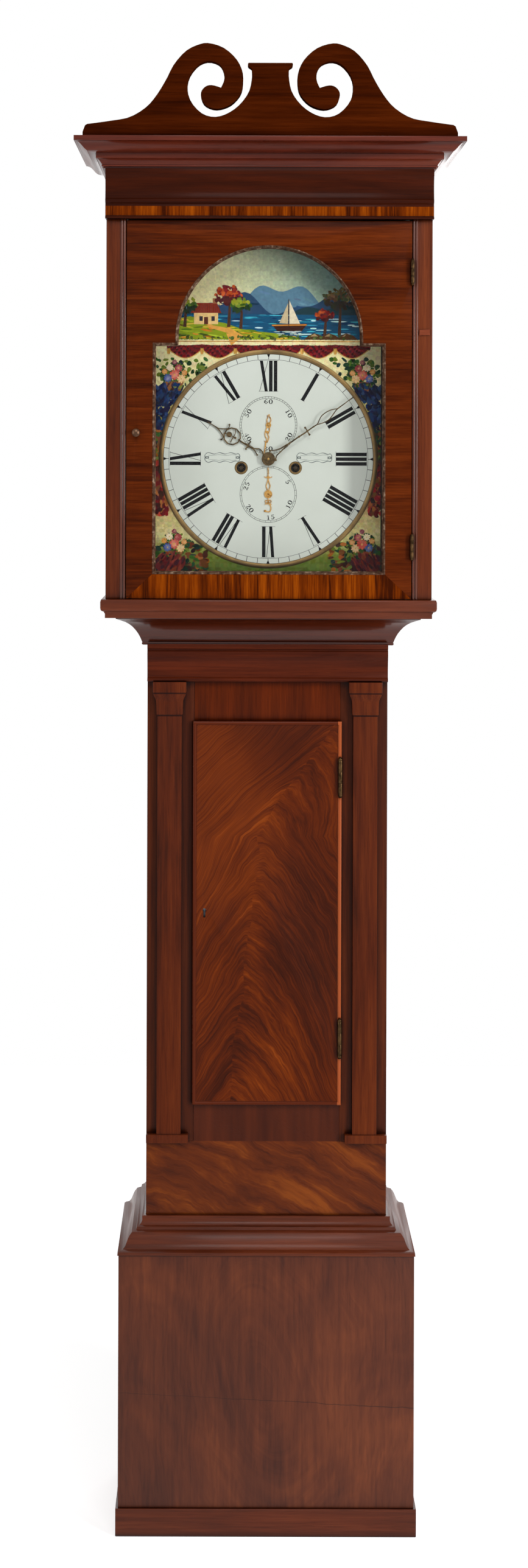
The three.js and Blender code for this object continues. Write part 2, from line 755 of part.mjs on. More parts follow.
function build_trunk_door() {
  const low = opening_low_z + trunk_door_gap;
  const high = opening_high_z - trunk_door_gap;
  const middle = (low + high) / 2;
  const lip_low = opening_low_z - trunk_lip_lap;
  const lip_high = opening_high_z + trunk_lip_lap;
  const body_y = [trunk_lip_back_y - seam, trunk_inside_y];
  const body = box([-trunk_door_half, trunk_door_half], body_y, [low, high]);
  const lip_y = [trunk_lip_front_y, trunk_lip_back_y];
  const lip = box([-trunk_lip_half, trunk_lip_half], lip_y, [lip_low, lip_high]);
  const bead = arc([bead_width / 2, 0], [-bead_width / 2, bead_proud], 0, Math.PI, 5);
  const sunk = -trunk_lip_thickness / 2;
  const bead_profile = [[0, sunk], ...bead, [bead_width, sunk]];
  const edge = framed(bead_profile, trunk_lip_half, lip_low, lip_high, trunk_lip_front_y);

  const keyhole_x = -trunk_door_half + keyhole_inset;
  const slot = box(
    [keyhole_x - keyhole_slot_width / 2, keyhole_x + keyhole_slot_width / 2],
    [trunk_lip_front_y - overrun, bolt_y], [middle - keyhole_height / 2, middle + keyhole_height / 2],
  );
  const eye = rod(keyhole_radius, trunk_lip_front_y - overrun, bolt_y);
  eye.translate(keyhole_x, 0, middle + keyhole_height / 2 - keyhole_radius);
  const mortise_x = [-trunk_lip_half - overrun, -trunk_door_half + bolt_length + seam];
  const mortise = bolt_space(mortise_x, middle, running_gap);
  const pockets = trunk_hinge_centres().flatMap((z) => [trunk_door_pocket(z), trunk_bead_notch(z)]);
  const door = cut(joined(body, lip, edge), slot, eye, mortise, ...pockets);
  add("trunk_door", door, figured_mahogany);

  const bolt = bolt_space([-trunk_door_half + seam, -trunk_door_half + bolt_length], middle, 0);
  add("lock_bolt", bolt, brass);

  for (const [place, i] of [["upper", 0], ["lower", 1]]) {
    const z = trunk_hinge_centres()[i];
    const reach = trunk_leaf_reach;
    const fixed = fixed_leaf(
      trunk_knuckle_radius, trunk_finial_radius, trunk_hinge_height, reach, trunk_leaf_split,
    );
    const moving = moving_leaf(trunk_knuckle_radius, trunk_hinge_height, reach, -trunk_leaf_split);
    add(`trunk_hinge_${place}`, fixed, brass).position.set(trunk_pin_x, trunk_pin_y, z);
    add(`trunk_door_leaf_${place}`, moving, brass).position.set(trunk_pin_x, trunk_pin_y, z);
  }
}

// Hood

const hood_door_half = window_half + hood_door_stile;
const hood_base_out = 7.3;
const hood_base_ledge = 2.5; // between the trunk and the hood's base
const hood_base_inner = hood_overhang - hood_base_ledge;
const hood_base_shares = [
  [0.1, 0], [0.1, 0.22], [0.35, 0.34], [0.62, 0.37], [0.9, 0.42], [1, 0.54], [1, 0.86], [0.88, 0.97],
  [0.62, 1],
];
const hood_frieze_proud = 8;
const hood_frieze_side = 1.7;
const hood_frieze_shares = [
  [0.85, 0], [0.95, 0.02], [0.85, 0.045], [0.5, 0.05], [0.5, 0.26], [0.38, 0.28], [0.38, 0.3], [0.62, 0.32],
  [0.82, 0.35], [0.82, 0.385], [0.62, 0.41], [0.42, 0.54], [0.38, 0.65], [0.5, 0.76], [0.8, 0.86], [1, 0.89],
  [1, 1],
];
const cornice_shares = [
  [0.105, 0], [0.105, 0.05], [0.153, 0.06], [0.153, 0.11], [0.14, 0.12], [0.16, 0.16], [0.2, 0.22],
  [0.24, 0.27], [0.29, 0.31], [0.332, 0.325], [0.332, 0.49], [0.38, 0.495], [0.47, 0.505], [0.55, 0.52],
  [0.61, 0.545], [0.66, 0.585], [0.71, 0.635], [0.76, 0.7], [0.83, 0.77], [0.89, 0.81], [0.95, 0.83],
  [1, 0.835], [1, 1],
];
const top_board_rest = 6;

function hood_pin_x() {
  return hood_door_half + hood_door_gap / 2;
}

function hood_pin_y() {
  return hood_front_y - hood_knuckle_radius - running_gap - hood_bead_proud;
}

function hood_hinge_centres() {
  return [hood_frieze_z - hood_hinge_inset, hood_opening_z + hood_hinge_inset];
}

function build_hood() {
  const wall_z = [hood_opening_z + seam, cornice_low_z - seam];
  const wall_y = [hood_inside_y + seam, back_y];
  board("hood_side_left", mahogany, [-hood_half, -hood_half + hood_side_thickness], wall_y, wall_z);
  board("hood_side_right", mahogany, [hood_half - hood_side_thickness, hood_half], wall_y, wall_z);

  const reed = hood_bead_width / 2;
  const plan = [
    [-hood_half, hood_inside_y], [-hood_half, hood_front_y], [-hood_half + hood_stile_width, hood_front_y],
  ];
  for (let i = 0; i < 2; i += 1) {
    const centre = -hood_half + hood_stile_width + reed * (i + 0.5);
    plan.push(...arc([centre, hood_front_y], [reed / 2, -hood_bead_proud], Math.PI, 0, 5).slice(1));
  }
  plan.push([-hood_stile_inner, hood_inside_y]);
  const stile_z = [hood_opening_z + seam, hood_frieze_z - seam];
  add("hood_stile_left", standing(polygon(plan), ...stile_z), mahogany);
  const mirrored = plan.map(([x, y]) => [-x, y]).reverse();
  const pockets = hood_hinge_centres().map((z) => {
    const deep = hood_pin_x() + trunk_leaf_split + leaf_thickness + leaf_pocket_gap;
    return box(
      [hood_door_half - overrun, deep],
      [hood_front_y - overrun, hood_front_y + leaf_depth + leaf_pocket_gap],
      [z - hood_hinge_height / 2 - leaf_pocket_gap, z + hood_hinge_height / 2 + leaf_pocket_gap],
    );
  });
  add("hood_stile_right", cut(standing(polygon(mirrored), ...stile_z), ...pockets), mahogany);

  const foot = hood_base_shares.map(([out, up]) => [out * hood_base_out, up * hood_base_height]);
  foot.push([-hood_base_inner, hood_base_height], [-hood_base_inner, 0]);
  add("hood_base_moulding", returned(foot, hood_half, hood_front_y, hood_low_z), mahogany);

  const frieze = hood_frieze_shares.map(([out, up]) => {
    return [hood_front_y - out * hood_frieze_proud, hood_frieze_z + up * (hood_frieze_height - seam)];
  });
  frieze.push([hood_inside_y, cornice_low_z - seam], [hood_inside_y, hood_frieze_z]);
  const frieze_half = hood_half + hood_frieze_side;
  add("hood_frieze", lengthwise(polygon(frieze.reverse()), -frieze_half, frieze_half), mahogany);

  const crown = cornice_shares.map(([out, up]) => [out * cornice_out, up * cornice_height]);
  crown.push([-top_board_rest, cornice_height], [-top_board_rest, 0]);
  add("cornice", returned(crown, hood_half, hood_front_y, cornice_low_z), mahogany);

  const top_half = hood_half - top_board_rest - seam;
  const top_y = [hood_front_y + top_board_rest + seam, back_y];
  const top_z = [cornice_low_z, cornice_low_z + top_board_thickness];
  board("hood_top_board", deal, [-top_half, top_half], top_y, top_z);
}

// Pediment: the left half, as shares of the half width and of the height, from the end to the middle.
// The crest is one smooth curve from the end over the scroll to its point, and the slot is the next.
const pediment_half = hood_half + pediment_out;
const crest_shares = [
  [-0.955, 0.135], [-0.85, 0.165], [-0.75, 0.204], [-0.663, 0.309], [-0.606, 0.441], [-0.556, 0.606],
  [-0.514, 0.77], [-0.45, 0.916], [-0.382, 0.985], [-0.328, 1], [-0.25, 0.951], [-0.184, 0.836],
  [-0.15, 0.704], [-0.145, 0.572], [-0.158, 0.457], [-0.2, 0.358], [-0.25, 0.308], [-0.3, 0.298],
  [-0.349, 0.341], [-0.369, 0.424], [-0.366, 0.49], [-0.341, 0.54], [-0.308, 0.549], [-0.263, 0.523],
];
const slot_shares = [
  [-0.263, 0.523], [-0.246, 0.606], [-0.25, 0.704], [-0.274, 0.777], [-0.328, 0.81], [-0.382, 0.77],
  [-0.428, 0.655], [-0.442, 0.523], [-0.423, 0.374], [-0.366, 0.249], [-0.3, 0.209], [-0.233, 0.242],
  [-0.167, 0.334], [-0.116, 0.473], [-0.099, 0.62], [-0.0985, 0.72],
];
const end_step_shares = [[-1, 0], [-1, 0.045], [-0.987, 0.115], [-0.975, 0.13]];
const platform_shares = [
  [-0.1, 0.73], [-0.106, 0.74], [-0.116, 0.752], [-0.1195, 0.765], [-0.12, 0.778], [-0.1165, 0.79],
];
const crest_steps = 62;
const slot_steps = 40;
const pediment_setback = 12;

function build_pediment() {
  const place = ([x, z]) => new THREE.Vector2(x * pediment_half, z * pediment_height);
  const smooth = (shares, steps) => new THREE.SplineCurve(shares.map(place)).getPoints(steps);
  const left = [
    ...end_step_shares.map(place), ...smooth(crest_shares, crest_steps),
    ...smooth(slot_shares, slot_steps).slice(1), ...platform_shares.map(place),
  ];
  const right = left.map((point) => new THREE.Vector2(-point.x, point.y)).reverse();
  const front = hood_front_y - cornice_out + pediment_setback;
  const outline = new THREE.Shape([...left, ...right].reverse());
  const scrolls = upright(outline, front, front + pediment_thickness);
  add("pediment", scrolls, mahogany).position.z = cornice_top_z + seam;
}

// Hood door: an arched frame, its glass, and the knob with its turn latch

function window_outline(shrink) {
  const half = window_half - shrink;
  const arch = arch_half - shrink;
  const low = hood_opening_z + window_rail_height + shrink;
  const shoulder = hood_opening_z + window_rail_height + window_height;
  const spring = shoulder + arch_stilt;
  const outline = new THREE.Shape();
  outline.moveTo(-half, low);
  outline.lineTo(half, low);
  outline.lineTo(half, shoulder - shrink);
  outline.lineTo(arch, shoulder - shrink);
  outline.lineTo(arch, spring);
  outline.absarc(0, spring, arch, 0, Math.PI, false);
  outline.lineTo(-arch, shoulder - shrink);
  outline.lineTo(-half, shoulder - shrink);
  outline.closePath();
  return outline;
}

function build_hood_door() {
  const low = hood_opening_z + hood_door_gap;
  const high = hood_frieze_z - hood_door_top_gap;
  const half = hood_door_half;
  const outer = polygon([[-half, low], [half, low], [half, high], [-half, high]]);
  outer.holes.push(window_outline(0));
  const knob_x = -half + knob_inset;
  const knob_z = hood_opening_z + knob_rise;
  outer.holes.push(circle_hole(knob_x, knob_z, knob_spindle_radius + running_gap));
  const pockets = hood_hinge_centres().map((z) => {
    const shallow = hood_pin_x() - trunk_leaf_split - leaf_thickness - leaf_pocket_gap;
    return box(
      [shallow, half + overrun], [hood_front_y - overrun, hood_front_y + leaf_depth + leaf_pocket_gap],
      [z - hood_hinge_height / 2 - leaf_pocket_gap, z + hood_hinge_height / 2 + leaf_pocket_gap],
    );
  });
  const frame = cut(upright(outer, hood_front_y, hood_inside_y, 12), ...pockets);
  add("hood_door_frame", frame, mahogany);

  const glass_y = hood_front_y + glass_depth;
  const pane = upright(window_outline(seam), glass_y, glass_y + glass_thickness, 12);
  add("hood_glass", pane, window_glass);

  const knob = turned([
    [0, -knob_proud], [knob_radius * 0.6, -knob_proud + knob_radius * 0.1],
    [knob_radius * 0.95, -knob_proud + knob_radius * 0.4], [knob_radius, -knob_proud + knob_radius * 0.7],
    [knob_radius * 0.8, -knob_proud + knob_radius * 1.05],
    [knob_radius * 0.5, -knob_proud + knob_radius * 1.3],
    [knob_radius * 0.5, -knob_radius * 0.35], [knob_radius * 0.8, -seam],
    [knob_spindle_radius, -seam], [knob_spindle_radius, frame_thickness + seam + latch_thickness / 2],
    [0, frame_thickness + seam + latch_thickness / 2],
  ], 16);
  const latch_y = [frame_thickness + seam, frame_thickness + seam + latch_thickness];
  const latch = box([-latch_width / 2, latch_width / 2], latch_y, [-latch_length, latch_width / 2]);
  add("hood_knob", joined(knob, latch), brass).position.set(knob_x, hood_front_y, knob_z);

  ["upper", "lower"].forEach((place, i) => {
    const z = hood_hinge_centres()[i];
    const reach = hood_front_y + leaf_depth - hood_pin_y();
    const fixed = fixed_leaf(
      hood_knuckle_radius, hood_finial_radius, hood_hinge_height, reach, trunk_leaf_split,
    );
    const moving = moving_leaf(hood_knuckle_radius, hood_hinge_height, reach, -trunk_leaf_split);
    add(`hood_hinge_${place}`, fixed, brass).position.set(hood_pin_x(), hood_pin_y(), z);
    add(`hood_door_leaf_${place}`, moving, brass).position.set(hood_pin_x(), hood_pin_y(), z);
  });
}

// Places of the arbors, as [x, z] from the dial's centre

function third_place() {
  const rise_squared = centre_third_distance ** 2 - third_escape_distance ** 2 + seconds_rise ** 2;
  const rise = rise_squared / (2 * seconds_rise);
  return [Math.sqrt(centre_third_distance ** 2 - rise ** 2), rise];
}

const centre_place = [0, 0];
const going_place = [winding_offset, -winding_drop];
const strike_place = [-winding_offset, -winding_drop];
const third_spot = third_place();
const escape_place = [0, seconds_rise];
const pallet_place = [0, seconds_rise + pallet_distance];
const date_place = [0, -date_drop];
const minute_place = [motion_distance * Math.sin(motion_angle), motion_distance * Math.cos(motion_angle)];
const hammer_place = [-hammer_arbor_out, hammer_arbor_rise];

const winding_distance = Math.hypot(winding_offset, winding_drop);
const great_module = (2 * winding_distance) / (great_teeth + pinion_leaves);
const centre_module = (2 * centre_third_distance) / (centre_teeth + pinion_leaves);
const third_module = (2 * third_escape_distance) / (third_teeth + pinion_leaves);
const cannon_module = (2 * motion_distance) / (2 * motion_teeth);
const hour_module = (2 * motion_distance) / (hour_teeth + motion_leaves);

// Direction from one place to another, as an angle in the X-Z plane
function bearing(from, to) {
  return Math.atan2(to[1] - from[1], to[0] - from[0]);
}

// A toothed outline with one tooth, or one gap, at the given bearing
function toothed(teeth, module_size, at, gap_there = false, tips = tip_share, roots = root_share) {
  const pitch_radius = (module_size * teeth) / 2;
  const tip_radius = pitch_radius + tips * module_size;
  const root_radius = pitch_radius - roots * module_size;
  const start = at + (gap_there ? Math.PI / teeth : 0);
  const points = [];
  for (let i = 0; i < 2 * teeth; i += 1) {
    const radius = i % 2 === 0 ? tip_radius : root_radius;
    const angle = start + (i * Math.PI) / teeth;
    points.push([radius * Math.cos(angle), radius * Math.sin(angle)]);
  }
  return polygon(points);
}

const crossing_arms = 4;
const crossing_arm_share = 0.2; // of the angle between two arms
const crossing_steps = 3;

// Openings between the arms of a crossed-out wheel
function cross_out(shape, inner, outer, at) {
  const step = (2 * Math.PI) / crossing_arms;
  for (let i = 0; i < crossing_arms; i += 1) {
    const from = at + (i + crossing_arm_share / 2) * step;
    const to = at + (i + 1 - crossing_arm_share / 2) * step;
    const ring = [
      ...arc([0, 0], [outer, outer], from, to, crossing_steps),
      ...arc([0, 0], [inner, inner], to, from, crossing_steps),
    ];
    shape.holes.push(new THREE.Path(ring.map(([x, y]) => new THREE.Vector2(x, y)).reverse()));
  }
  return shape;
}

const hub_radius = 5;
const rim_width = 3.5;

function crossed_wheel(outline, pitch_radius, front, thickness, at) {
  const inner = hub_radius + wheel_thickness / 2;
  return upright(cross_out(outline, inner, pitch_radius - rim_width, at), front, front + thickness);
}

function put(mesh, place) {
  mesh.position.x = place[0];
  mesh.position.z = place[1];
  return mesh;
}

function build_plates() {
  const low = -seatboard_drop + seam;
  const arbor_hole = arbor_radius + running_gap;
  const plate = () => {
    const outline = polygon([
      [-plate_half, low], [plate_half, low], [plate_half, plate_head], [-plate_half, plate_head],
    ]);
    for (const place of [centre_place, third_spot, escape_place, pallet_place, hammer_place]) {
      outline.holes.push(circle_hole(...place, arbor_hole));
    }
    for (const place of [going_place, strike_place]) {
      outline.holes.push(circle_hole(...place, barrel_arbor_radius + running_gap));
    }
    return outline;
  };
  const stud_root_y = front_plate_y + plate_thickness / 2;
  const minute_stud = rod(stud_radius, front_plate_y - 10 * stud_radius, stud_root_y, 8);
  const date_stud = rod(stud_radius, dial_back_y + seam, stud_root_y, 8);
  const front = joined(
    upright(plate(), front_plate_y, plate_inside_y),
    minute_stud.translate(minute_place[0], 0, minute_place[1]),
    date_stud.translate(date_place[0], 0, date_place[1]),
  );
  add("movement_front_plate", front, brass, movement);

  const pieces = [upright(plate(), back_plate_y, plate_outside_y)];
  const pillar_x = plate_half - pillar_inset;
  for (const x of [-pillar_x, pillar_x]) {
    for (const z of [low + pillar_inset, plate_head - pillar_inset]) {
      const pillar = rod(pillar_radius, plate_inside_y + seam, back_plate_y + plate_thickness / 2, 10);
      pieces.push(pillar.translate(x, 0, z));
    }
  }
  const cock_z = pallet_place[1] + suspension_rise + cock_gap;
  const cock_back = plate_outside_y + pendulum_setback + suspension_width / 2 + seam;
  const cock_x = [-cock_width / 2, cock_width / 2];
  const cock_y = [plate_outside_y - plate_thickness / 2, cock_back];
  pieces.push(box(cock_x, cock_y, [cock_z, cock_z + cock_thickness]));
  pieces.push(...bell_stand());
  add("movement_back_plate", joined(...pieces), brass, movement);
}

const bell_low = plate_head + bell_lift;
const bell_top = bell_low + bell_height;
const bell_y = front_plate_y + bell_setback;

function bell_stand() {
  const x = [-bell_stand_width / 2, bell_stand_width / 2];
  const top = bell_top + bell_wall + bell_stand_width;
  const post_y = [plate_outside_y - plate_thickness / 2, plate_outside_y + bell_stand_thickness];
  const post = box(x, post_y, [plate_head - 2 * bell_stand_width, top]);
  const arm = box(x, [bell_y - bell_stand_width / 2, post_y[1]], [top - bell_stand_thickness, top]);
  const stem = along_z(rod(stud_radius * 2, bell_top - bell_wall * 3, top - bell_stand_thickness / 2, 10));
  const collar = along_z(rod(stud_radius * 4, bell_top + seam, bell_top + bell_wall + seam, 10));
  const nut = along_z(rod(stud_radius * 4, bell_top - bell_wall * 3, bell_top - bell_wall - seam, 10));
  const under_bell = [stem, collar, nut].map((piece) => piece.translate(0, bell_y, 0));
  return [post, arm, ...under_bell];
}

// The bell's outline from its crown down to its lip, as shares of its radius and height
const bell_shares = [[0.2, 1], [0.52, 0.93], [0.77, 0.74], [0.9, 0.44], [1, 0]];

function build_bell() {
  const hole = stud_radius * 2 + running_gap;
  const outer = bell_shares.map(([r, h]) => [r * bell_radius, h * bell_height]);
  const inner = bell_shares.map(([r, h]) => [r * (bell_radius - bell_wall), h * (bell_height - bell_wall)]);
  const profile = [
    [hole, bell_height], [hole, bell_height - bell_wall], ...inner, ...[...outer].reverse(),
    [hole, bell_height],
  ];
  const bell = along_z(turned(profile, 24));
  add("bell", bell, brass, movement).position.set(0, bell_y, bell_low);
}

function build_hammer() {
  const y = bell_y;
  const head_z = bell_low + bell_wall * 2 - hammer_place[1];
  const head_tip = -bell_radius - hammer_gap - hammer_place[0];
  const head_middle = head_tip - hammer_head_length / 2;
  const half = hammer_stem_width / 2;
  const stem = polygon([[-half, 0], [half, 0], [head_middle + half, head_z], [head_middle - half, head_z]]);
  const head = rod(hammer_head_radius, 0, hammer_head_length, 12).rotateZ(Math.PI / 2);
  const hammer = joined(
    rod(arbor_radius, front_plate_y, plate_outside_y),
    rod(hammer_stem_width, y - hammer_stem_width, y + hammer_stem_width, 10),
    upright(stem, y - half, y + half),
    head.translate(head_tip, y, head_z),
  );
  put(add("hammer", hammer, steel, movement), hammer_place);
}

function build_barrels() {
  const drum_front = plate_inside_y + drum_depth;
  const drum_back = drum_front + drum_length;
  const square_y = dial_face_y - winding_square_proud;
  const profile = [
    [0, square_y], [barrel_arbor_radius * 0.85, square_y],
    [barrel_arbor_radius * 0.85, front_plate_y - seam],
    [barrel_arbor_radius, front_plate_y - seam], [barrel_arbor_radius, drum_front - drum_flange_thickness],
    [drum_flange_radius, drum_front - drum_flange_thickness], [drum_flange_radius, drum_front],
    [drum_radius, drum_front], [drum_radius, drum_back], [drum_flange_radius, drum_back],
    [drum_flange_radius, drum_back + drum_flange_thickness],
    [barrel_arbor_radius, drum_back + drum_flange_thickness], [barrel_arbor_radius, plate_outside_y],
    [0, plate_outside_y],
  ];
  put(add("going_barrel", turned(profile, 20), brass, movement), going_place);

  const wheel_y = plate_inside_y + great_wheel_depth;
  const great = toothed(great_teeth, great_module, bearing(going_place, centre_place));
  great.holes.push(circle_hole(0, 0, barrel_arbor_radius + running_gap));
  const great_wheel = upright(great, wheel_y, wheel_y + great_wheel_thickness, 8);
  put(add("going_great_wheel", great_wheel, brass, movement), going_place);

  const strike = toothed(strike_teeth, great_module, 0);
  const strike_wheel = upright(strike, wheel_y, wheel_y + great_wheel_thickness);
  put(add("strike_barrel", joined(turned(profile, 20), strike_wheel), brass, movement), strike_place);
}

function build_train() {
  const at_centre = bearing(centre_place, going_place);
  const to_third = bearing(centre_place, third_spot);
  const centre_pinion_y = plate_inside_y + centre_pinion_depth;
  const centre_wheel_y = plate_inside_y + centre_wheel_depth;
  const arbor_tip = dial_face_y - centre_tip_gap;
  const centre_pinion = toothed(pinion_leaves, great_module, at_centre, true);
  const centre = joined(
    rod(arbor_radius, arbor_tip, plate_outside_y),
    upright(centre_pinion, centre_pinion_y, centre_pinion_y + pinion_length),
    crossed_wheel(
      toothed(centre_teeth, centre_module, to_third), (centre_module * centre_teeth) / 2,
      centre_wheel_y, wheel_thickness, to_third,
    ),
    rod(hub_radius, centre_wheel_y - wheel_thickness, centre_wheel_y + 2 * wheel_thickness),
  );
  add("centre_arbor", centre, brass, movement);

  const third_wheel_y = plate_inside_y + third_wheel_depth;
  const third_pinion_y = plate_inside_y + third_pinion_depth;
  const to_escape = bearing(third_spot, escape_place);
  const third = joined(
    rod(arbor_radius, front_plate_y, plate_outside_y),
    upright(
      toothed(pinion_leaves, centre_module, bearing(third_spot, centre_place), true),
      third_pinion_y, third_pinion_y + pinion_length,
    ),
    crossed_wheel(
      toothed(third_teeth, third_module, to_escape), (third_module * third_teeth) / 2,
      third_wheel_y, wheel_thickness, to_escape,
    ),
    rod(hub_radius, third_wheel_y - wheel_thickness, third_wheel_y + 2 * wheel_thickness),
  );
  put(add("third_wheel", third, brass, movement), third_spot);

  const escape_wheel_y = plate_inside_y + escape_wheel_depth;
  const escape_pinion_y = plate_inside_y + escape_pinion_depth;
  const escape_module = (2 * escape_radius) / (escape_teeth + 2 * tip_share);
  const escape = joined(
    rod(arbor_radius, dial_face_y - small_hand_gap - hand_thickness - seam, plate_outside_y),
    upright(
      toothed(pinion_leaves, third_module, bearing(escape_place, third_spot), true),
      escape_pinion_y, escape_pinion_y + pinion_length,
    ),
    crossed_wheel(
      toothed(escape_teeth, escape_module, 0), escape_radius - escape_module,
      escape_wheel_y, thin_wheel_thickness, 0,
    ),
    rod(hub_radius, escape_wheel_y - wheel_thickness, escape_wheel_y + 2 * wheel_thickness),
  );
  put(add("escape_wheel", escape, brass, movement), escape_place);
}

// Pallets: the nibs stand just clear of the escape wheel's tips when the pendulum is at its limit

function build_pallets() {
  const nib_radius = escape_radius + pallet_distance * Math.SQRT1_2 * swing_limit + 2 * running_gap;
  const nib_start = Math.PI / 4;
  const nib_end = nib_start - pallet_thickness / nib_radius * 1.2;
  const nib = (angle) => [nib_radius * Math.cos(angle), nib_radius * Math.sin(angle) - pallet_distance];
  const boss = 2.6 * arbor_radius;
  const right = [
    [0, -boss], [nib(nib_start)[0] * 0.6, -boss * 1.3], nib(nib_start), nib(nib_end),
    [nib(nib_end)[0] + pallet_thickness, nib(nib_end)[1] + pallet_thickness], [nib(nib_end)[0], -boss * 0.6],
    [boss, boss],
  ];
  const left = right.slice(1).map(([x, z]) => [-x, z]).reverse();
  const anchor_y = plate_inside_y + escape_wheel_depth;
  const crutch_y = plate_outside_y + crutch_gap;
  const pendulum_y = plate_outside_y + pendulum_setback;
  const half = crutch_width / 2;
  const slot = rod_radius + running_gap;
  const foot_z = [-crutch_length, -crutch_length + crutch_width];
  const foot_y = [crutch_y, crutch_y + crutch_thickness];
  const prong_y = [crutch_y, pendulum_y + rod_radius + crutch_thickness];
  const pallets = joined(
    rod(arbor_radius, front_plate_y, crutch_y + crutch_thickness),
    upright(polygon([...right, ...left]), anchor_y, anchor_y + pallet_thickness),
    box([-half, half], foot_y, [-crutch_length, half]),
    box([-slot - crutch_thickness, slot + crutch_thickness], foot_y, foot_z),
    box([-slot - crutch_thickness, -slot], prong_y, foot_z),
    box([slot, slot + crutch_thickness], prong_y, foot_z),
  );
  put(add("pallets", pallets, steel, movement), pallet_place);
}

function build_pendulum() {
  const pendulum_y = plate_outside_y + pendulum_setback;
  const strip_y = [-suspension_width / 2, suspension_width / 2];
  const strip_x = [-suspension_thickness / 2, suspension_thickness / 2];
  const rod_top = suspension_rise - suspension_length;
  const nut_z = -pendulum_length - bob_radius - 3 * rod_radius;
  const lens = [
    [0, -bob_half_thickness], [bob_radius * 0.4, -bob_half_thickness * 0.82],
    [bob_radius * 0.75, -bob_half_thickness * 0.45], [bob_radius, -rod_radius / 2],
    [bob_radius, rod_radius / 2], [bob_radius * 0.75, bob_half_thickness * 0.45],
    [bob_radius * 0.4, bob_half_thickness * 0.82],
    [0, bob_half_thickness],
  ];
  const pendulum = joined(
    box(strip_x, strip_y, [rod_top - rod_radius, suspension_rise]),
    along_z(rod(rod_radius, nut_z - 4 * rod_radius, rod_top)),
    along_z(rod(2 * rod_radius, rod_top - 6 * rod_radius, rod_top)),
    turned(lens, 28).translate(0, 0, -pendulum_length),
    along_z(rod(2.6 * rod_radius, nut_z - rod_radius, nut_z + rod_radius, 10)),
  );
  const mesh = add("pendulum", pendulum, brass, movement);
  mesh.position.set(pallet_place[0], pendulum_y, pallet_place[1]);
}

// Motion work and hands. Hands are drawn pointing up, from their own centre, in shares of their length.

function disc_shape([x, z], radius) {
  const shape = new THREE.Shape();
  shape.absarc(x, z, radius, 0, 2 * Math.PI, false);
  return shape;
}

function ring_shape([x, z], radius, wire) {
  const shape = disc_shape([x, z], radius);
  shape.holes.push(circle_hole(x, z, radius - wire));
  return shape;
}

// A strand follows a smooth line and changes evenly from its first width to its last
function strand_shape(points, first_width, last_width) {
  const curve = new THREE.SplineCurve(points.map(([x, z]) => new THREE.Vector2(x, z)));
  const steps = strand_steps * (points.length - 1);
  const left = [];
  const right = [];
  for (let i = 0; i <= steps; i += 1) {
    const share = i / steps;
    const place = curve.getPoint(share);
    const way = curve.getTangent(share);
    const half = (first_width + (last_width - first_width) * share) / 2;
    left.push([place.x - way.y * half, place.y + way.x * half]);
    right.push([place.x + way.y * half, place.y - way.x * half]);
  }
  return polygon([...left, ...right.reverse()]);
}

function hand_blade({ strands, discs, rings }, length, front) {
  const shapes = [
    ...strands.map(([points, ...widths]) => strand_shape(points, ...widths)),
    ...discs.map(([centre, radius]) => disc_shape(centre, radius)),
    ...rings.map(([centre, radius, wire]) => ring_shape(centre, radius, wire)),
  ];
  return shapes.map((shape) => {
    return upright(shape, 0, 1, 5).scale(length, hand_thickness, length).translate(0, front, 0);
  });
}

const strand_steps = 3;
const spoke_clearance = 3; // between a wheel's hub and its cut-outs
const minute_pipe_inner = arbor_radius + running_gap;
const minute_pipe_outer = minute_pipe_inner + pipe_wall;
const hour_pipe_inner = minute_pipe_outer + running_gap;
const hour_pipe_outer = hour_pipe_inner + pipe_wall;
const hour_boss_radius = 9.4;
const minute_boss_radius = 10.2;
const seconds_boss_radius = 4.2;
const date_boss_radius = 6.2;

// Strands are [[side, along] points, first width, last width]; discs are [centre, radius], rings add a wire
const hour_blade_shares = {
  strands: [
    [[[0.014, 0.272], [0, 0.227], [-0.017, 0.191], [-0.033, 0.163]], 0.016, 0.013],
    [
      [[0.014, 0.272], [0.028, 0.228], [0.052, 0.188], [0.05, 0.141], [0.024, 0.102], [-0.02, 0.06]],
      0.014, 0.016,
    ],
    [[[0.013, 0.504], [0.008, 0.435], [0.011, 0.382], [0.012, 0.328], [0.013, 0.262]], 0.018, 0.027],
    [[[0.011, 0.354], [0.036, 0.342], [0.055, 0.341], [0.076, 0.343]], 0.022, 0.011],
    [[[0.007, 0.325], [-0.016, 0.338], [-0.031, 0.345], [-0.047, 0.338]], 0.022, 0.011],
    [[[0.114, 0.612], [0.067, 0.583], [0.024, 0.578], [-0.02, 0.579], [-0.08, 0.575]], 0.009, 0.015],
    [[[0.01, 0.549], [0.006, 0.576], [0.009, 0.602]], 0.011, 0.011],
    [[[-0.017, 0.722], [-0.001, 0.681], [0.007, 0.646]], 0.013, 0.013],
    [
      [[-0.002, 0.848], [0.006, 0.807], [0.037, 0.748], [0.065, 0.709], [0.095, 0.702],
       [0.124, 0.715]],
      0.015, 0.011,
    ],
    [
      [[-0.002, 0.848], [-0.014, 0.803], [-0.031, 0.758], [-0.057, 0.708], [-0.083, 0.697],
       [-0.112, 0.706]],
      0.015, 0.011,
    ],
    [[[-0.003, 0.817], [0, 0.879], [0, 0.951], [0, 1]], 0.019, 0.007],
  ],
  discs: [
    [[0.007, 0.646], 0.04], [[0.01, 0.549], 0.017], [[0.124, 0.715], 0.014], [[-0.112, 0.706], 0.014],
    [[0.074, 0.341], 0.013], [[-0.044, 0.34], 0.013], [[-0.033, 0.163], 0.013],
  ],
  rings: [[[0.006, 0.598], 0.127, 0.018]],
};
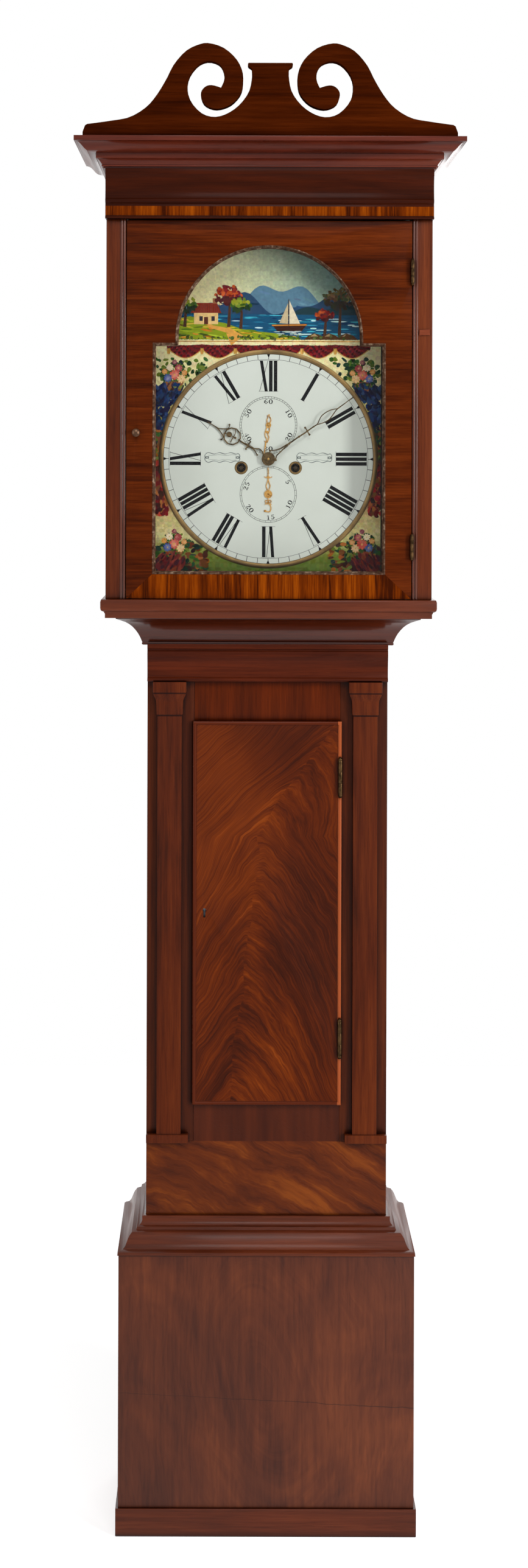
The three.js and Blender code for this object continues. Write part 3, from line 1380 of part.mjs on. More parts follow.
const minute_blade_shares = {
  strands: [
    [
      [[0.034, 0.036], [0.041, 0.054], [0.021, 0.083], [0.015, 0.124], [0.006, 0.181], [0.003, 0.228]],
      0.011, 0.011,
    ],
    [
      [[-0.036, 0.034], [-0.05, 0.063], [-0.032, 0.096], [-0.015, 0.142], [-0.01, 0.184],
       [-0.007, 0.228]],
      0.01, 0.011,
    ],
    [
      [[-0.003, 0.204], [-0.001, 0.287], [0, 0.35], [0.005, 0.429], [0.005, 0.493], [0.006, 0.529],
       [0.009, 0.576]],
      0.015, 0.011,
    ],
    [[[-0.033, 0.459], [-0.012, 0.458], [0.004, 0.457], [0.021, 0.453], [0.044, 0.452]], 0.01, 0.01],
    [
      [[0.009, 0.568], [0.001, 0.586], [-0.017, 0.617], [-0.033, 0.655], [-0.034, 0.715],
       [-0.021, 0.769], [0.002, 0.814]],
      0.009, 0.009,
    ],
    [
      [[0.009, 0.568], [0.024, 0.607], [0.035, 0.646], [0.037, 0.693], [0.022, 0.746], [0.007, 0.789],
       [0.002, 0.818]],
      0.009, 0.01,
    ],
    [[[0.002, 0.802], [0.002, 0.88], [0.001, 0.944], [0, 1]], 0.012, 0.006],
  ],
  discs: [
    [[-0.034, 0.458], 0.0105], [[0.043, 0.453], 0.0105], [[0.004, 0.457], 0.012], [[0.001, 0.36], 0.011],
    [[0.006, 0.529], 0.009], [[0.05, 0.05], 0.011], [[-0.054, 0.058], 0.01],
  ],
  rings: [],
};
const seconds_blade_shares = {
  strands: [
    [
      [[0.036, 0.07], [0.064, 0.204], [0.075, 0.299], [0.045, 0.403], [-0.019, 0.48], [-0.016, 0.57]],
      0.03, 0.03,
    ],
    [
      [[-0.042, 0.06], [-0.061, 0.171], [-0.044, 0.266], [-0.028, 0.33], [-0.08, 0.41],
       [-0.054, 0.58]],
      0.03, 0.03,
    ],
    [[[0.05, 0.564], [-0.002, 0.582], [-0.065, 0.585]], 0.033, 0.033],
    [[[0, 0.57], [-0.002, 0.77], [-0.003, 1]], 0.05, 0.026],
    [[[0.051, -0.06], [0.081, -0.18], [0.054, -0.246], [0.077, -0.32], [0.01, -0.367]], 0.03, 0.024],
    [[[-0.026, -0.06], [-0.062, -0.17], [-0.031, -0.258], [0.025, -0.306], [0.008, -0.36]], 0.034, 0.024],
    [[[0.08, 0.25], [0.01, 0.245], [-0.055, 0.25]], 0.03, 0.03],
  ],
  discs: [[[0.003, 0.242], 0.045]],
  rings: [],
};
const date_blade_shares = {
  strands: [
    [[[-0.014, 0.13], [-0.059, 0.243], [-0.071, 0.323], [-0.038, 0.42], [0.002, 0.564]], 0.032, 0.032],
    [[[0.011, 0.13], [0.057, 0.241], [0.071, 0.322], [0.04, 0.419], [0.002, 0.564]], 0.032, 0.032],
    [[[0.002, 0.53], [0.001, 0.758], [0, 1]], 0.042, 0.026],
    [[[-0.139, 0.65], [-0.068, 0.617], [0.003, 0.629], [0.08, 0.615], [0.151, 0.647]], 0.026, 0.026],
    [[[-0.004, -0.12], [-0.005, -0.37]], 0.03, 0.03],
    [[[-0.129, -0.363], [-0.007, -0.358], [0.122, -0.372]], 0.032, 0.032],
    [[[0.04, -0.365], [0.095, -0.469], [0.088, -0.591], [0.023, -0.655], [-0.106, -0.628]], 0.034, 0.04],
  ],
  discs: [[[-0.119, -0.621], 0.045]],
  rings: [[[0.003, 0.629], 0.056, 0.026], [[-0.062, -0.27], 0.066, 0.028], [[0.058, -0.27], 0.066, 0.028]],
};

function build_hands() {
  const hour_y = dial_face_y - hour_hand_gap;
  const minute_y = dial_face_y - minute_hand_gap;
  const small_y = dial_face_y - small_hand_gap - hand_thickness;
  const hour_wheel_y = dial_back_y + false_gap * 0.62;
  const cannon_y = front_plate_y - 2 * thin_wheel_thickness;

  const hour_wheel = toothed(hour_teeth, hour_module, bearing(centre_place, minute_place), true);
  const hour_pitch = (hour_module * hour_teeth) / 2;
  hour_wheel.holes.push(circle_hole(0, 0, hour_pipe_inner));
  cross_out(hour_wheel, hub_radius + spoke_clearance, hour_pitch - rim_width, 0);
  const hour_blades = hand_blade(hour_blade_shares, hour_hand_length, hour_y)
    .map((blade) => blade.rotateY(hour_hand_angle));
  const hour_hand = joined(
    upright(hour_wheel, hour_wheel_y, hour_wheel_y + thin_wheel_thickness, 8),
    pipe(hour_pipe_inner, hour_pipe_outer, hour_y, hour_wheel_y + thin_wheel_thickness, 16),
    pipe(hour_pipe_inner, hour_boss_radius, hour_y, hour_y + hand_thickness, 16),
    ...hour_blades,
  );
  add("hour_hand", hour_hand, brass, movement);

  const cannon = toothed(motion_teeth, cannon_module, bearing(centre_place, minute_place));
  cannon.holes.push(circle_hole(0, 0, minute_pipe_inner));
  const minute_blades = hand_blade(minute_blade_shares, minute_hand_length, minute_y)
    .map((blade) => blade.rotateY(minute_hand_angle));
  const minute_hand = joined(
    upright(cannon, cannon_y, cannon_y + thin_wheel_thickness, 8),
    pipe(minute_pipe_inner, minute_pipe_outer, minute_y, cannon_y + thin_wheel_thickness, 16),
    pipe(minute_pipe_inner, minute_boss_radius, minute_y, minute_y + hand_thickness, 16),
    ...minute_blades,
  );
  add("minute_hand", minute_hand, brass, movement);

  const minute_wheel = toothed(motion_teeth, cannon_module, bearing(minute_place, centre_place), true);
  minute_wheel.holes.push(circle_hole(0, 0, stud_radius + running_gap));
  const pinion = toothed(motion_leaves, hour_module, bearing(minute_place, centre_place));
  pinion.holes.push(circle_hole(0, 0, stud_radius + running_gap));
  const carried = joined(
    upright(minute_wheel, cannon_y, cannon_y + thin_wheel_thickness),
    upright(pinion, hour_wheel_y - thin_wheel_thickness, cannon_y + thin_wheel_thickness / 2),
  );
  put(add("minute_wheel", carried, brass, movement), minute_place);

  const seconds_bore = arbor_radius + running_gap;
  const seconds_pipe = pipe(seconds_bore, seconds_boss_radius, small_y, small_y + hand_thickness);
  const seconds_blades = hand_blade(seconds_blade_shares, seconds_hand_length, small_y);
  const seconds_hand = joined(seconds_pipe, ...seconds_blades);
  const seconds = put(add("seconds_hand", seconds_hand, brass, movement), escape_place);
  seconds.rotation.y = seconds_hand_angle;

  const date_inner = stud_radius + running_gap;
  const date_wheel_y = dial_back_y + 2 * thin_wheel_thickness;
  const date_module = (2 * date_wheel_radius) / date_teeth;
  const date_wheel = toothed(date_teeth, date_module, 0);
  date_wheel.holes.push(circle_hole(0, 0, date_inner));
  const date_hand = joined(
    upright(date_wheel, date_wheel_y, date_wheel_y + thin_wheel_thickness),
    pipe(date_inner, date_inner + pipe_wall, small_y, date_wheel_y + thin_wheel_thickness),
    pipe(date_inner, date_boss_radius, small_y, small_y + hand_thickness),
    ...hand_blade(date_blade_shares, date_hand_length, small_y),
  );
  const date = put(add("date_hand", date_hand, brass, movement), date_place);
  date.rotation.y = date_hand_angle;
}

function build_dial() {
  const outline = new THREE.Shape();
  const half = dial_half;
  outline.moveTo(-half, -half);
  outline.lineTo(half, -half);
  outline.lineTo(half, half);
  outline.lineTo(dial_arch_half, half);
  outline.absarc(0, half, dial_arch_half, 0, Math.PI, false);
  outline.lineTo(-half, half);
  outline.closePath();
  for (const place of [going_place, strike_place]) {
    outline.holes.push(circle_hole(...place, winding_hole_radius));
  }
  outline.holes.push(circle_hole(...centre_place, hour_pipe_outer + 2 * running_gap));
  outline.holes.push(circle_hole(...escape_place, arbor_radius + 2 * running_gap));
  outline.holes.push(circle_hole(...date_place, stud_radius + pipe_wall + 3 * running_gap));
  const sheet = upright(outline, dial_face_y, dial_back_y, 10);
  const foot_x = plate_half - pillar_inset;
  const feet = [];
  for (const x of [-foot_x, foot_x]) {
    for (const z of [-seatboard_drop + pillar_inset, plate_head - pillar_inset]) {
      const foot = rod(dial_foot_radius, dial_back_y - dial_thickness / 2, front_plate_y - seam, 8);
      feet.push(foot.translate(x, 0, z));
    }
  }
  add("dial", joined(sheet, ...feet), painted_dial, movement);
}

// Lines and weights: each line comes off its barrel, goes round the pulley and back to the seatboard

const line_wrap_radius = drum_radius + seam + line_radius;
const pulley_z = seatboard_low_z - pulley_drop;

function build_seatboard() {
  const y = [front_plate_y - seatboard_overhang, plate_outside_y + seatboard_overhang];
  const whole = box([-trunk_half, trunk_half], y, [seatboard_low_z, seatboard_top_z]);
  const slot_half = 3 * line_radius;
  const slot_y = [plate_inside_y + drum_depth, plate_inside_y + drum_depth + drum_length];
  const slot_z = [seatboard_low_z - overrun, seatboard_top_z + overrun];
  const slots = [-1, 1].map((hand) => {
    const x = hand * winding_offset - line_wrap_radius;
    return box([x - slot_half, x + slot_half], slot_y, slot_z);
  });
  add("seatboard", cut(whole, ...slots), deal);
}

function build_line(name, hand) {
  const x = hand * winding_offset;
  const barrel_z = dial_centre_z - winding_drop;
  const point = (px, pz) => new THREE.Vector3(px, line_y, pz);
  const wrap = [line_wrap_radius, line_wrap_radius];
  const bend = arc([x, pulley_z], wrap, Math.PI, 2 * Math.PI, line_bend_steps);
  const route = [
    point(x - line_wrap_radius, barrel_z), ...bend.map(([px, pz]) => point(px, pz)),
    point(x + line_wrap_radius, seatboard_low_z - seam),
  ];
  const rings = route.map((here, i) => {
    const before = route[Math.max(i - 1, 0)];
    const after = route[Math.min(i + 1, route.length - 1)];
    const along = after.clone().sub(before).normalize();
    const across = new THREE.Vector3(0, 1, 0);
    const beside = along.clone().cross(across);
    return (out, up) => here.clone().addScaledVector(across, out).addScaledVector(beside, up).toArray();
  });
  const section = arc([0, 0], [line_radius, line_radius], 0, 2 * Math.PI, line_sides).slice(1);
  add(name, swept(section, rings, false), gut);
}

function build_weight(name, hand) {
  const half_strap = pulley_thickness / 2 + seam + stirrup_thickness;
  const strap_x = [-stirrup_width / 2, stirrup_width / 2];
  const strap_z = [-stirrup_length, stirrup_width / 2];
  const weight_top = -stirrup_length - weight_neck;
  const weight = joined(
    turned([
      [0, -pulley_thickness / 2], [drum_radius, -pulley_thickness / 2],
      [drum_radius, pulley_thickness / 2], [0, pulley_thickness / 2],
    ], 20),
    rod(stud_radius * 2, -half_strap - seam, half_strap + seam, 8),
    box(strap_x, [-half_strap, -half_strap + stirrup_thickness], strap_z),
    box(strap_x, [half_strap - stirrup_thickness, half_strap], strap_z),
    box(strap_x, [-half_strap, half_strap], [strap_z[0], strap_z[0] + 2 * stirrup_thickness]),
    along_z(rod(stirrup_width / 3, weight_top - weight_neck, strap_z[0] + stirrup_thickness, 10)),
    along_z(turned([
      [0, weight_top - weight_height], [weight_radius, weight_top - weight_height],
      [weight_radius, weight_top - weight_neck], [weight_radius * 0.8, weight_top], [0, weight_top],
    ], 24)),
  );
  add(name, weight, lead).position.set(hand * winding_offset, line_y, pulley_z);
}

build_base();
build_trunk();
build_pilasters();
build_backboard();
build_trunk_door();
build_hood();
build_pediment();
build_hood_door();
build_seatboard();
build_plates();
build_bell();
build_hammer();
build_barrels();
build_train();
build_pallets();
build_pendulum();
build_dial();
build_hands();
build_line("going_line", 1);
build_line("strike_line", -1);
build_weight("going_weight", 1);
build_weight("strike_weight", -1);

export default clock;
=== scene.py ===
import fnmatch
import math
import random

import bpy
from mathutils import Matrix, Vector
from mathutils.geometry import tessellate_polygon


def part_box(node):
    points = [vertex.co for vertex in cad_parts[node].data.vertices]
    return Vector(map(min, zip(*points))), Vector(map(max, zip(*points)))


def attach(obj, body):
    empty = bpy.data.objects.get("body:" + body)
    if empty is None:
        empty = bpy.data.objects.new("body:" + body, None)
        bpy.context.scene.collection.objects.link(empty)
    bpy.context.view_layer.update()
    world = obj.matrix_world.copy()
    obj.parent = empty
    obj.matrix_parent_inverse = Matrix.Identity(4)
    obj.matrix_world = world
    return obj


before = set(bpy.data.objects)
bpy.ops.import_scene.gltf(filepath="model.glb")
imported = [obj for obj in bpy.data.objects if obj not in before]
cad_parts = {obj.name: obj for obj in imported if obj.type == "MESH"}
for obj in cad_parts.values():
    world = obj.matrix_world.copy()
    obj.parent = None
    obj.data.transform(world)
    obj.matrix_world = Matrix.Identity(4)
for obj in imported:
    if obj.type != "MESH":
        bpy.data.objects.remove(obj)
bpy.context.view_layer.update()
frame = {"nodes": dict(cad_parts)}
nodes = frame["nodes"]
scene = bpy.context.scene
choice, uniform = random.choice, random.uniform
MM = 0.001
TURN = 2 * math.pi


def add_object(name, data):
    made = bpy.data.objects.new(name, data)
    scene.collection.objects.link(made)
    return made


# Camera and light

camera_data = bpy.data.cameras.new("camera")
camera_data.lens = 51.2
camera_data.sensor_width = 36
camera_data.shift_x = 0.0219
camera_data.shift_y = -0.205
camera_data.clip_end = 60
camera = add_object("camera", camera_data)
camera.location = (-0.058, -3.397, 1.5974)
camera.rotation_euler = (math.radians(90), math.radians(-0.17), 0)
scene.camera = camera
scene.view_settings.view_transform = "Standard"


def lamp(name, place, aim_height, size, power):
    data = bpy.data.lights.new(name, "AREA")
    data.shape = "RECTANGLE"
    data.size, data.size_y = size
    data.energy = power
    made = add_object(name, data)
    made.location = place
    made.rotation_euler = (Vector((0, 0, aim_height)) - Vector(place)).to_track_quat("-Z", "Y").to_euler()


lamp("key", (2.9, -2.8, 1.8), 1.15, (0.7, 2.4), 70)
lamp("fill", (-3.4, -2.4, 1.9), 1.1, (1.4, 2.6), 22)
lamp("front", (0.2, -3.1, 4.2), 1.2, (2.4, 1.6), 47)
lamp("behind", (0.6, 3.6, 2.4), 1.1, (2.4, 2.0), 36)


# Materials

def rgb(*colour):
    """A linear colour from three numbers of 0 to 255."""
    shares = [c / 255 for c in colour]
    return (*(c / 12.92 if c <= 0.04045 else ((c + 0.055) / 1.055) ** 2.4 for c in shares), 1.0)


def operation(kind, turned=False):
    """A method of Value that adds a math node. Turned, the other value comes first in it."""
    def method(value, other=None):
        return value.shader.math(kind, *((other, value) if turned else (value, other)))
    return method


class Value:
    """The output of a node. It can be written in sums like a number."""

    __add__ = __radd__ = operation("ADD")
    __mul__ = __rmul__ = operation("MULTIPLY")
    __sub__, __rsub__ = operation("SUBTRACT"), operation("SUBTRACT", True)
    __truediv__, __rtruediv__ = operation("DIVIDE"), operation("DIVIDE", True)
    __pow__, __rpow__ = operation("POWER"), operation("POWER", True)
    __gt__, __lt__ = operation("GREATER_THAN"), operation("LESS_THAN")
    __abs__ = operation("ABSOLUTE")

    def __init__(self, shader, socket):
        self.shader, self.socket = shader, socket


class Shader:
    """The nodes of a material, a world or a group. A name stands for a new material."""

    def __init__(self, owner):
        if isinstance(owner, str):
            owner = bpy.data.materials.new(owner)
            owner.use_nodes = True
        self.material, self.tree = owner, getattr(owner, "node_tree", owner)
        self.bsdf = self.tree.nodes.get("Principled BSDF")

    def put(self, socket, value):
        if isinstance(value, Value):
            self.tree.links.new(value.socket, socket)
        else:
            socket.default_value = value

    def node(self, kind, inputs=(), **settings):
        """kind leaves out ShaderNode from the front of a shader node's type."""
        made = self.tree.nodes.new(kind if "Node" in kind else "ShaderNode" + kind)
        for key, value in settings.items():
            setattr(made, key, value)
        for key, value in dict(inputs).items():
            self.put(made.inputs[key], value)
        return made

    def value(self, kind, inputs=(), output=0, **settings):
        return Value(self, self.node(kind, inputs, **settings).outputs[output])

    def math(self, kind, a, b=None):
        return self.value("Math", {0: a} if b is None else {0: a, 1: b}, operation=kind)

    def noise(self, scale, detail=4.0, rough=0.55, warp=0.0, shift=(0, 0, 0), where=None):
        """scale is one number, or three along X, Y and Z. where is a place other than the object's own."""
        where = where or self.value("TexCoord", (), "Object")
        if isinstance(scale, tuple):
            where = self.value("Mapping", {"Vector": where, "Scale": scale, "Location": shift})
            scale = 1.0
        inputs = {"Vector": where, "Scale": scale, "Detail": detail, "Roughness": rough, "Distortion": warp}
        return self.value("TexNoise", inputs, "Fac")

    def axes(self):
        where = self.value("TexCoord", (), "Object")
        return [Value(self, part) for part in self.node("SeparateXYZ", {"Vector": where}).outputs]

    def ramp(self, fac, *stops):
        """Each stop is a place and a colour: three numbers of 0 to 255, or four linear ones."""
        made = self.node("ValToRGB", {"Fac": fac})
        elements = made.color_ramp.elements
        while len(elements) < len(stops):
            elements.new(0.5)
        for element, (place, colour) in zip(elements, stops):
            element.position = place
            element.color = rgb(*colour) if len(colour) == 3 else colour
        return Value(self, made.outputs["Color"])

    def mix(self, fac, a, b, blend="MIX"):
        return self.value("Mix", {0: fac, 6: a, 7: b}, 2, data_type="RGBA", blend_type=blend)

    def link(self, name, value):
        self.put(self.bsdf.inputs[name], value)
        return self

    def linked(self, name):
        """What an input of the surface is linked to so far."""
        return Value(self, self.bsdf.inputs[name].links[0].from_socket)

    def bump(self, height, distance, strength):
        inputs = {"Height": height, "Distance": distance, "Strength": strength}
        return self.link("Normal", self.value("Bump", inputs))

    def rays(self, *kinds):
        """1 for a ray of one of these kinds."""
        outputs = self.node("LightPath").outputs
        either = 0.0
        for kind in kinds:
            either = self.math("MAXIMUM", Value(self, outputs[f"Is {kind} Ray"]), either)
        return either

    def swap(self, fac, usual, other, output):
        """The output takes the usual surface or background, and the other where fac is 1."""
        inputs = {0: fac, 1: Value(self, usual.outputs[0]), 2: Value(self, other.outputs[0])}
        self.put(self.tree.nodes[output].inputs["Surface"], self.value("MixShader", inputs))


def polish(shader, colour, rough, gloss=0.1, coat=0.0):
    """Waxed wood: painted shade and dirt darken its corners and recesses, and gloss is its sheen seen from
    the front.
    """
    # Painted shade: the colour darkens where other surfaces stand close round a point, with some dirt there
    # too
    corner = shader.value("AmbientOcclusion", {"Distance": 0.012}, "AO", samples=6)
    corner_shade_and_dirt = shader.ramp(corner, (0.4, (0.14, 0.11, 0.1, 1)), (0.88, (1, 1, 1, 1)))
    shader.link("Base Color", shader.mix(1.0, colour, corner_shade_and_dirt, "MULTIPLY"))
    shader.link("Roughness", rough).link("Coat Weight", coat).link("Coat Roughness", 0.15)
    shader.link("Specular IOR Level", gloss)


# Scale of the grain along X, Y and Z for each way that it can run
GRAIN = {"up": (1.0, 1.0, 0.035), "across": (0.035, 0.035, 1.0)}
# Tones that darken the pores
PORES = ((0.33, (0.6, 0.55, 0.55, 1)), (0.45, (1, 1, 1, 1)))


def wood(name, tones, way="up", contrast=1.0, rough=0.3, gloss=0.1, coat=0.0, seed=0.0, fineness=1.0):
    """tones are the dark, middle and light colours of the grain."""
    s = Shader(name)
    run = [fineness * k for k in GRAIN[way]]
    fine = s.noise(tuple(190 * k for k in run), 6, 0.65, 0.4, (seed, 0, seed))
    broad = s.noise(tuple(20 * k + 1.5 for k in run), 3, 0.5, 1.2, (seed, seed, 0))
    pores = s.noise(tuple(900 * k for k in run), 2, 0.5)
    fac = (fine * 0.6 + broad * 0.7 - 0.65) * contrast + 0.5
    colour = s.ramp(fac, *zip((0.3, 0.5, 0.72), tones))
    colour = s.mix(0.5, colour, s.ramp(pores, *PORES), "MULTIPLY")
    polish(s, colour, broad * 0.16 + (rough - 0.08), gloss, coat)
    return s.bump(pores * 0.5 + fine, 0.00025, 0.3).material


UPRIGHT = ((58, 22, 8), (97, 39, 16), (125, 56, 23))
upright = wood("mahogany_upright", UPRIGHT, seed=1)
pilaster_wood = wood("mahogany_pilaster", UPRIGHT, seed=1)
reeded = wood("mahogany_reeds", ((63, 24, 9), (104, 44, 18), (133, 62, 27)), rough=0.24, gloss=0.12, seed=2)
rail_wood = wood("mahogany_rail", ((73, 25, 6), (103, 38, 9), (135, 53, 14)), "up", 0.85, gloss=0.07, seed=4)
across = wood(
    "mahogany_across", ((73, 29, 13), (108, 48, 25), (138, 66, 36)), "across", 0.75, gloss=0.14, coat=0.12,
)
throat_wood = wood("mahogany_throat", ((58, 18, 6), (90, 34, 14), (116, 47, 22)), "across", 0.75, gloss=0.09)
frieze_wood = wood(
    "mahogany_frieze", ((42, 12, 3), (65, 22, 5), (86, 31, 8)), "across", 0.8, gloss=0.03, coat=0.06, seed=2,
)
cornice_wood = wood(
    "mahogany_cornice", ((70, 25, 12), (112, 43, 25), (140, 62, 37)), "across", 0.7, coat=0.22, seed=7,
)
crest_wood = wood("mahogany_pediment", ((49, 15, 3), (74, 26, 4), (95, 37, 8)), "across", 1.1, 0.3, 0, seed=6)
hood_across = wood(
    "mahogany_hood_door", ((57, 19, 4), (96, 37, 8), (130, 56, 16)), "across", gloss=0.05, seed=3.1,
    fineness=1.7,
)
band = wood(
    "mahogany_crossband", ((70, 23, 2), (131, 53, 4), (181, 86, 10)), "up", 1.35, 0.25, gloss=0.03, seed=8,
    fineness=2.2,
)
patch_wood = wood("mahogany_patch", ((120, 54, 34), (168, 86, 56), (196, 112, 80)), "across", seed=9)
softwood = wood("softwood", ((96, 68, 42), (134, 98, 62), (160, 122, 82)), rough=0.75)


class Figure(Shader):
    """Veneer whose streaks run up to a leaning spine from both sides, as in a fork of the tree."""

    def streaks(self, foot, head, spine, left, right):
        """spine is (at foot, at head, turn near the head), left and right are (slope, bend) of streaks."""
        self.x, _, self.z = self.axes()
        climb = (self.z - foot) / (head - foot)
        line = climb * (spine[1] - spine[0]) + spine[0]
        line = line + self.math("MAXIMUM", climb - 0.7, 0.0) * spine[2]
        line = line + (self.noise((6, 6, 6), 3, 0.5) * 0.06 - 0.03)
        self.dx = self.x - line
        away = (self.dx * self.dx + 0.00006) ** 0.5
        on_left = self.dx < 0.0
        slope = on_left * (left[0] - right[0]) + right[0]
        bend = on_left * (left[1] - right[1]) + right[1]
        curl = self.noise((14, 14, 9), 4, 0.55, shift=(3, 0, 0))
        self.t = curl * 0.045 + (self.z + away * (away * bend + slope))
        spread = self.dx / 0.03
        self.near = 1.0 / (spread * spread + 1.0)
        return self

    def streak_noise(self, along, across, detail=5.0):
        where = self.value("CombineXYZ", {"X": self.dx * along, "Z": self.t * across})
        return self.noise(1.0, detail, 0.62, 0.6, where=where)

    def spot(self, px, pz, wide, tall):
        """A soft patch, 1 in its middle."""
        u, v = (self.x - px) / wide, (self.z - pz) / tall
        return math.e ** ((u * u + v * v) * -1.0)


def trunk_door_veneer():
    low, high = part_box("trunk_door")
    tall, middle = high.z - low.z, (low.z + high.z) / 2
    s = Figure("flame_veneer").streaks(low.z, high.z, (-0.06, 0.006, 0.35), (1.6, 7.0), (0.65, 4.5))
    broad, fine, hair = s.streak_noise(11, 46), s.streak_noise(22, 210, 6.0), s.streak_noise(60, 900, 3.0)
    patches = s.noise((7, 7, 4), 3, 0.55, shift=(2, 1, 1))
    lively = s.near * 0.36 + 0.26 + s.spot(0.03, low.z + tall * 0.12, 0.06, 0.09) * 0.45
    fac = (broad - 0.5) * lively + (fine - 0.5) * 0.5 + (hair - 0.5) * 0.2 + (patches - 0.5) * 0.35 + 0.5
    for px, share, wide, height, gain in (
        (-0.07, 0.84, 0.07, 0.13, 0.06), (0.055, 0.62, 0.035, 0.14, -0.1), (0.06, 0.33, 0.05, 0.09, -0.07),
        (-0.085, 0.55, 0.04, 0.12, 0.03), (0.03, 0.1, 0.05, 0.05, 0.07), (-0.02, 0.37, 0.02, 0.09, 0.08),
        (-0.045, 0.2, 0.03, 0.07, -0.07), (0.0, 0.74, 0.03, 0.05, 0.05), (0.03, 0.93, 0.05, 0.05, -0.04),
    ):
        fac = fac + s.spot(px, low.z + tall * share, wide, height) * gain
    colour = s.ramp(
        fac, (0.26, (52, 17, 5)), (0.4, (80, 29, 8)), (0.51, (107, 41, 10)), (0.63, (137, 58, 13)),
        (0.78, (177, 85, 23)),
    )
    moulded_edge = 0.0056
    rim_x = high.x - moulded_edge
    outside = s.math("MAXIMUM", abs(s.x) - rim_x, abs(s.z - middle) - (tall / 2 - moulded_edge)) > 0.0
    # The moulded edge is plain wood, lighter on the right side: a painted highlight of the lamp from the
    # right
    rim = s.mix(s.x > rim_x, rgb(104, 40, 13), rgb(196, 98, 52))
    polish(s, s.mix(outside, colour, rim), broad * 0.12 + 0.2, 0.06, 0.06)
    return s.bump(fine, 0.0002, 0.25).material


def lower_panel_veneer():
    """The panel, with its top rail above the joint."""
    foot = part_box("base_moulding")[1].z
    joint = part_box("trunk_stile_left")[0].z
    middle = (foot + joint) / 2
    s = Figure("panel_veneer").streaks(foot, joint, (-0.2, -0.21, 0.0), (0.5, 1.0), (0.42, 0.25))
    broad, fine = s.streak_noise(9, 34), s.streak_noise(24, 240)
    patches = s.noise((8, 8, 8), 3, 0.5, shift=(4, 1, 3))
    fac = (broad - 0.5) * 0.95 + (fine - 0.5) * 0.34 + (patches - 0.5) * 0.35 + 0.5
    fac = fac + s.spot(0.03, middle - 0.03, 0.07, 0.03) * 0.1 + s.spot(0.19, middle, 0.06, 0.08) * -0.09
    tones = (73, 28, 10), (104, 44, 16), (120, 53, 18), (159, 80, 27)
    panel = s.ramp(fac, *zip((0.3, 0.45, 0.55, 0.72), tones))
    straight = s.noise((50, 50, 4), 4, 0.6)
    rail = s.ramp(straight, (0.3, (73, 28, 13)), (0.55, (90, 37, 17)), (0.75, (104, 44, 21)))
    polish(s, s.mix(s.z > joint, panel, rail), broad * 0.12 + 0.22, 0.12)
    return s.bump(fine, 0.0002, 0.25).material


def base_veneer():
    low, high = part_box("base_front")
    s = Shader("mahogany_base")
    x, _, z = s.axes()
    u = x + (s.noise((4, 4, 3), 3, 0.5, shift=(1, 1, 2)) * 0.16 - 0.08)
    v = (z - (low.z + high.z) / 2) * 0.42
    radius = (u * u + v * v) ** 0.5
    rings = s.noise(1.0, 5, 0.65, 0.5, where=s.value("CombineXYZ", {"X": radius * 120, "Z": z * 4}))
    cloud = s.noise((6, 6, 4), 4, 0.55, 1.0)
    pores = s.noise((255, 255, 33), 2, 0.5)
    fibre = s.noise((125, 125, 6), 5, 0.65, 0.3, (1, 1, 3))
    # Darker in the top 50 mm, under the base moulding: painted shade
    shade = s.math("MAXIMUM", z - (high.z - 0.05), 0.0) * -1.6
    fac = (rings - 0.5) * 0.26 + (fibre - 0.5) * 0.4 + (cloud - 0.5) * 0.8 + 0.5 + shade
    colour = s.ramp(fac, (0.3, (77, 35, 22)), (0.5, (109, 54, 33)), (0.68, (139, 73, 43)))
    colour = s.mix(0.35, colour, s.ramp(pores, *PORES), "MULTIPLY")
    crack_height = x * -0.05 + (s.noise((33, 33, 33), 3, 0.6) * 0.006 + (low.z + 0.157))
    crack_width = s.math("MAXIMUM", x + 0.1, 0.0) * 0.0016 + 0.0003
    crack = abs(z - crack_height) < crack_width
    polish(s, s.mix(crack * 0.6, colour, rgb(40, 20, 15)), cloud * 0.16 + 0.3, 0.25)
    return s.bump(pores + rings, 0.0002, 0.25).material


def gleam(material, edge, axis, weight):
    """A coat of wax on the part of a moulding beyond an edge: a height, or a distance to either side."""
    s = Shader(material)
    place = s.axes()[axis]
    s.link("Coat Weight", (place > edge if axis == 2 else abs(place) < edge) * weight)


def shadow_lines(material, heights):
    """Dark lines just under the edges at these heights."""
    s = Shader(material)
    z = s.axes()[2]
    colour = s.linked("Base Color")
    for height in heights:
        darker = s.mix(1.0, colour, (0.26, 0.22, 0.22, 1), "MULTIPLY")
        colour = s.mix(abs(z - (height - 0.0014)) < 0.0012, colour, darker)
    s.link("Base Color", colour)


low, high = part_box("throat_moulding")
gleam(throat_wood, low.z + (high.z - low.z) * 0.575, 2, 0.6)
stile_inner = min(abs(corner.x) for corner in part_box("hood_stile_right"))
gleam(reeded, stile_inner + 0.008, 0, 0.55)
capital_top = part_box("pilaster_left")[1].z
shadow_lines(pilaster_wood, (capital_top - 0.0155, capital_top - 0.0495))


def metal(name, colour, dark, rough, scale=60, metallic=1.0):
    s = Shader(name)
    tarnish = s.noise(scale, 5, 0.6)
    s.link("Base Color", s.ramp(tarnish, (0.35, dark), (0.62, colour)))
    s.link("Metallic", metallic).link("Roughness", tarnish * -0.2 + (rough + 0.1))
    return s.bump(s.noise(scale * 9, 3), 0.0001, 0.2).material


brass = metal("aged_brass", (186, 150, 88), (96, 70, 36), 0.38)
gilt = metal("gilt_brass", (206, 160, 88), (130, 88, 38), 0.33, 220)
ring_brass = metal("ring_brass", (124, 100, 62), (86, 68, 42), 0.45, 30)
barrel_brass = metal("barrel_brass", (186, 150, 88), (96, 70, 36), 0.38)

# The ends of the barrels in the winding holes are painted dark, as steel arbors and as painted shade down in
# the holes
ends = Shader(barrel_brass)
in_hole = ends.axes()[1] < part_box("dial")[1].y + 0.004
ends.link("Base Color", ends.mix(in_hole, ends.linked("Base Color"), rgb(52, 44, 34)))


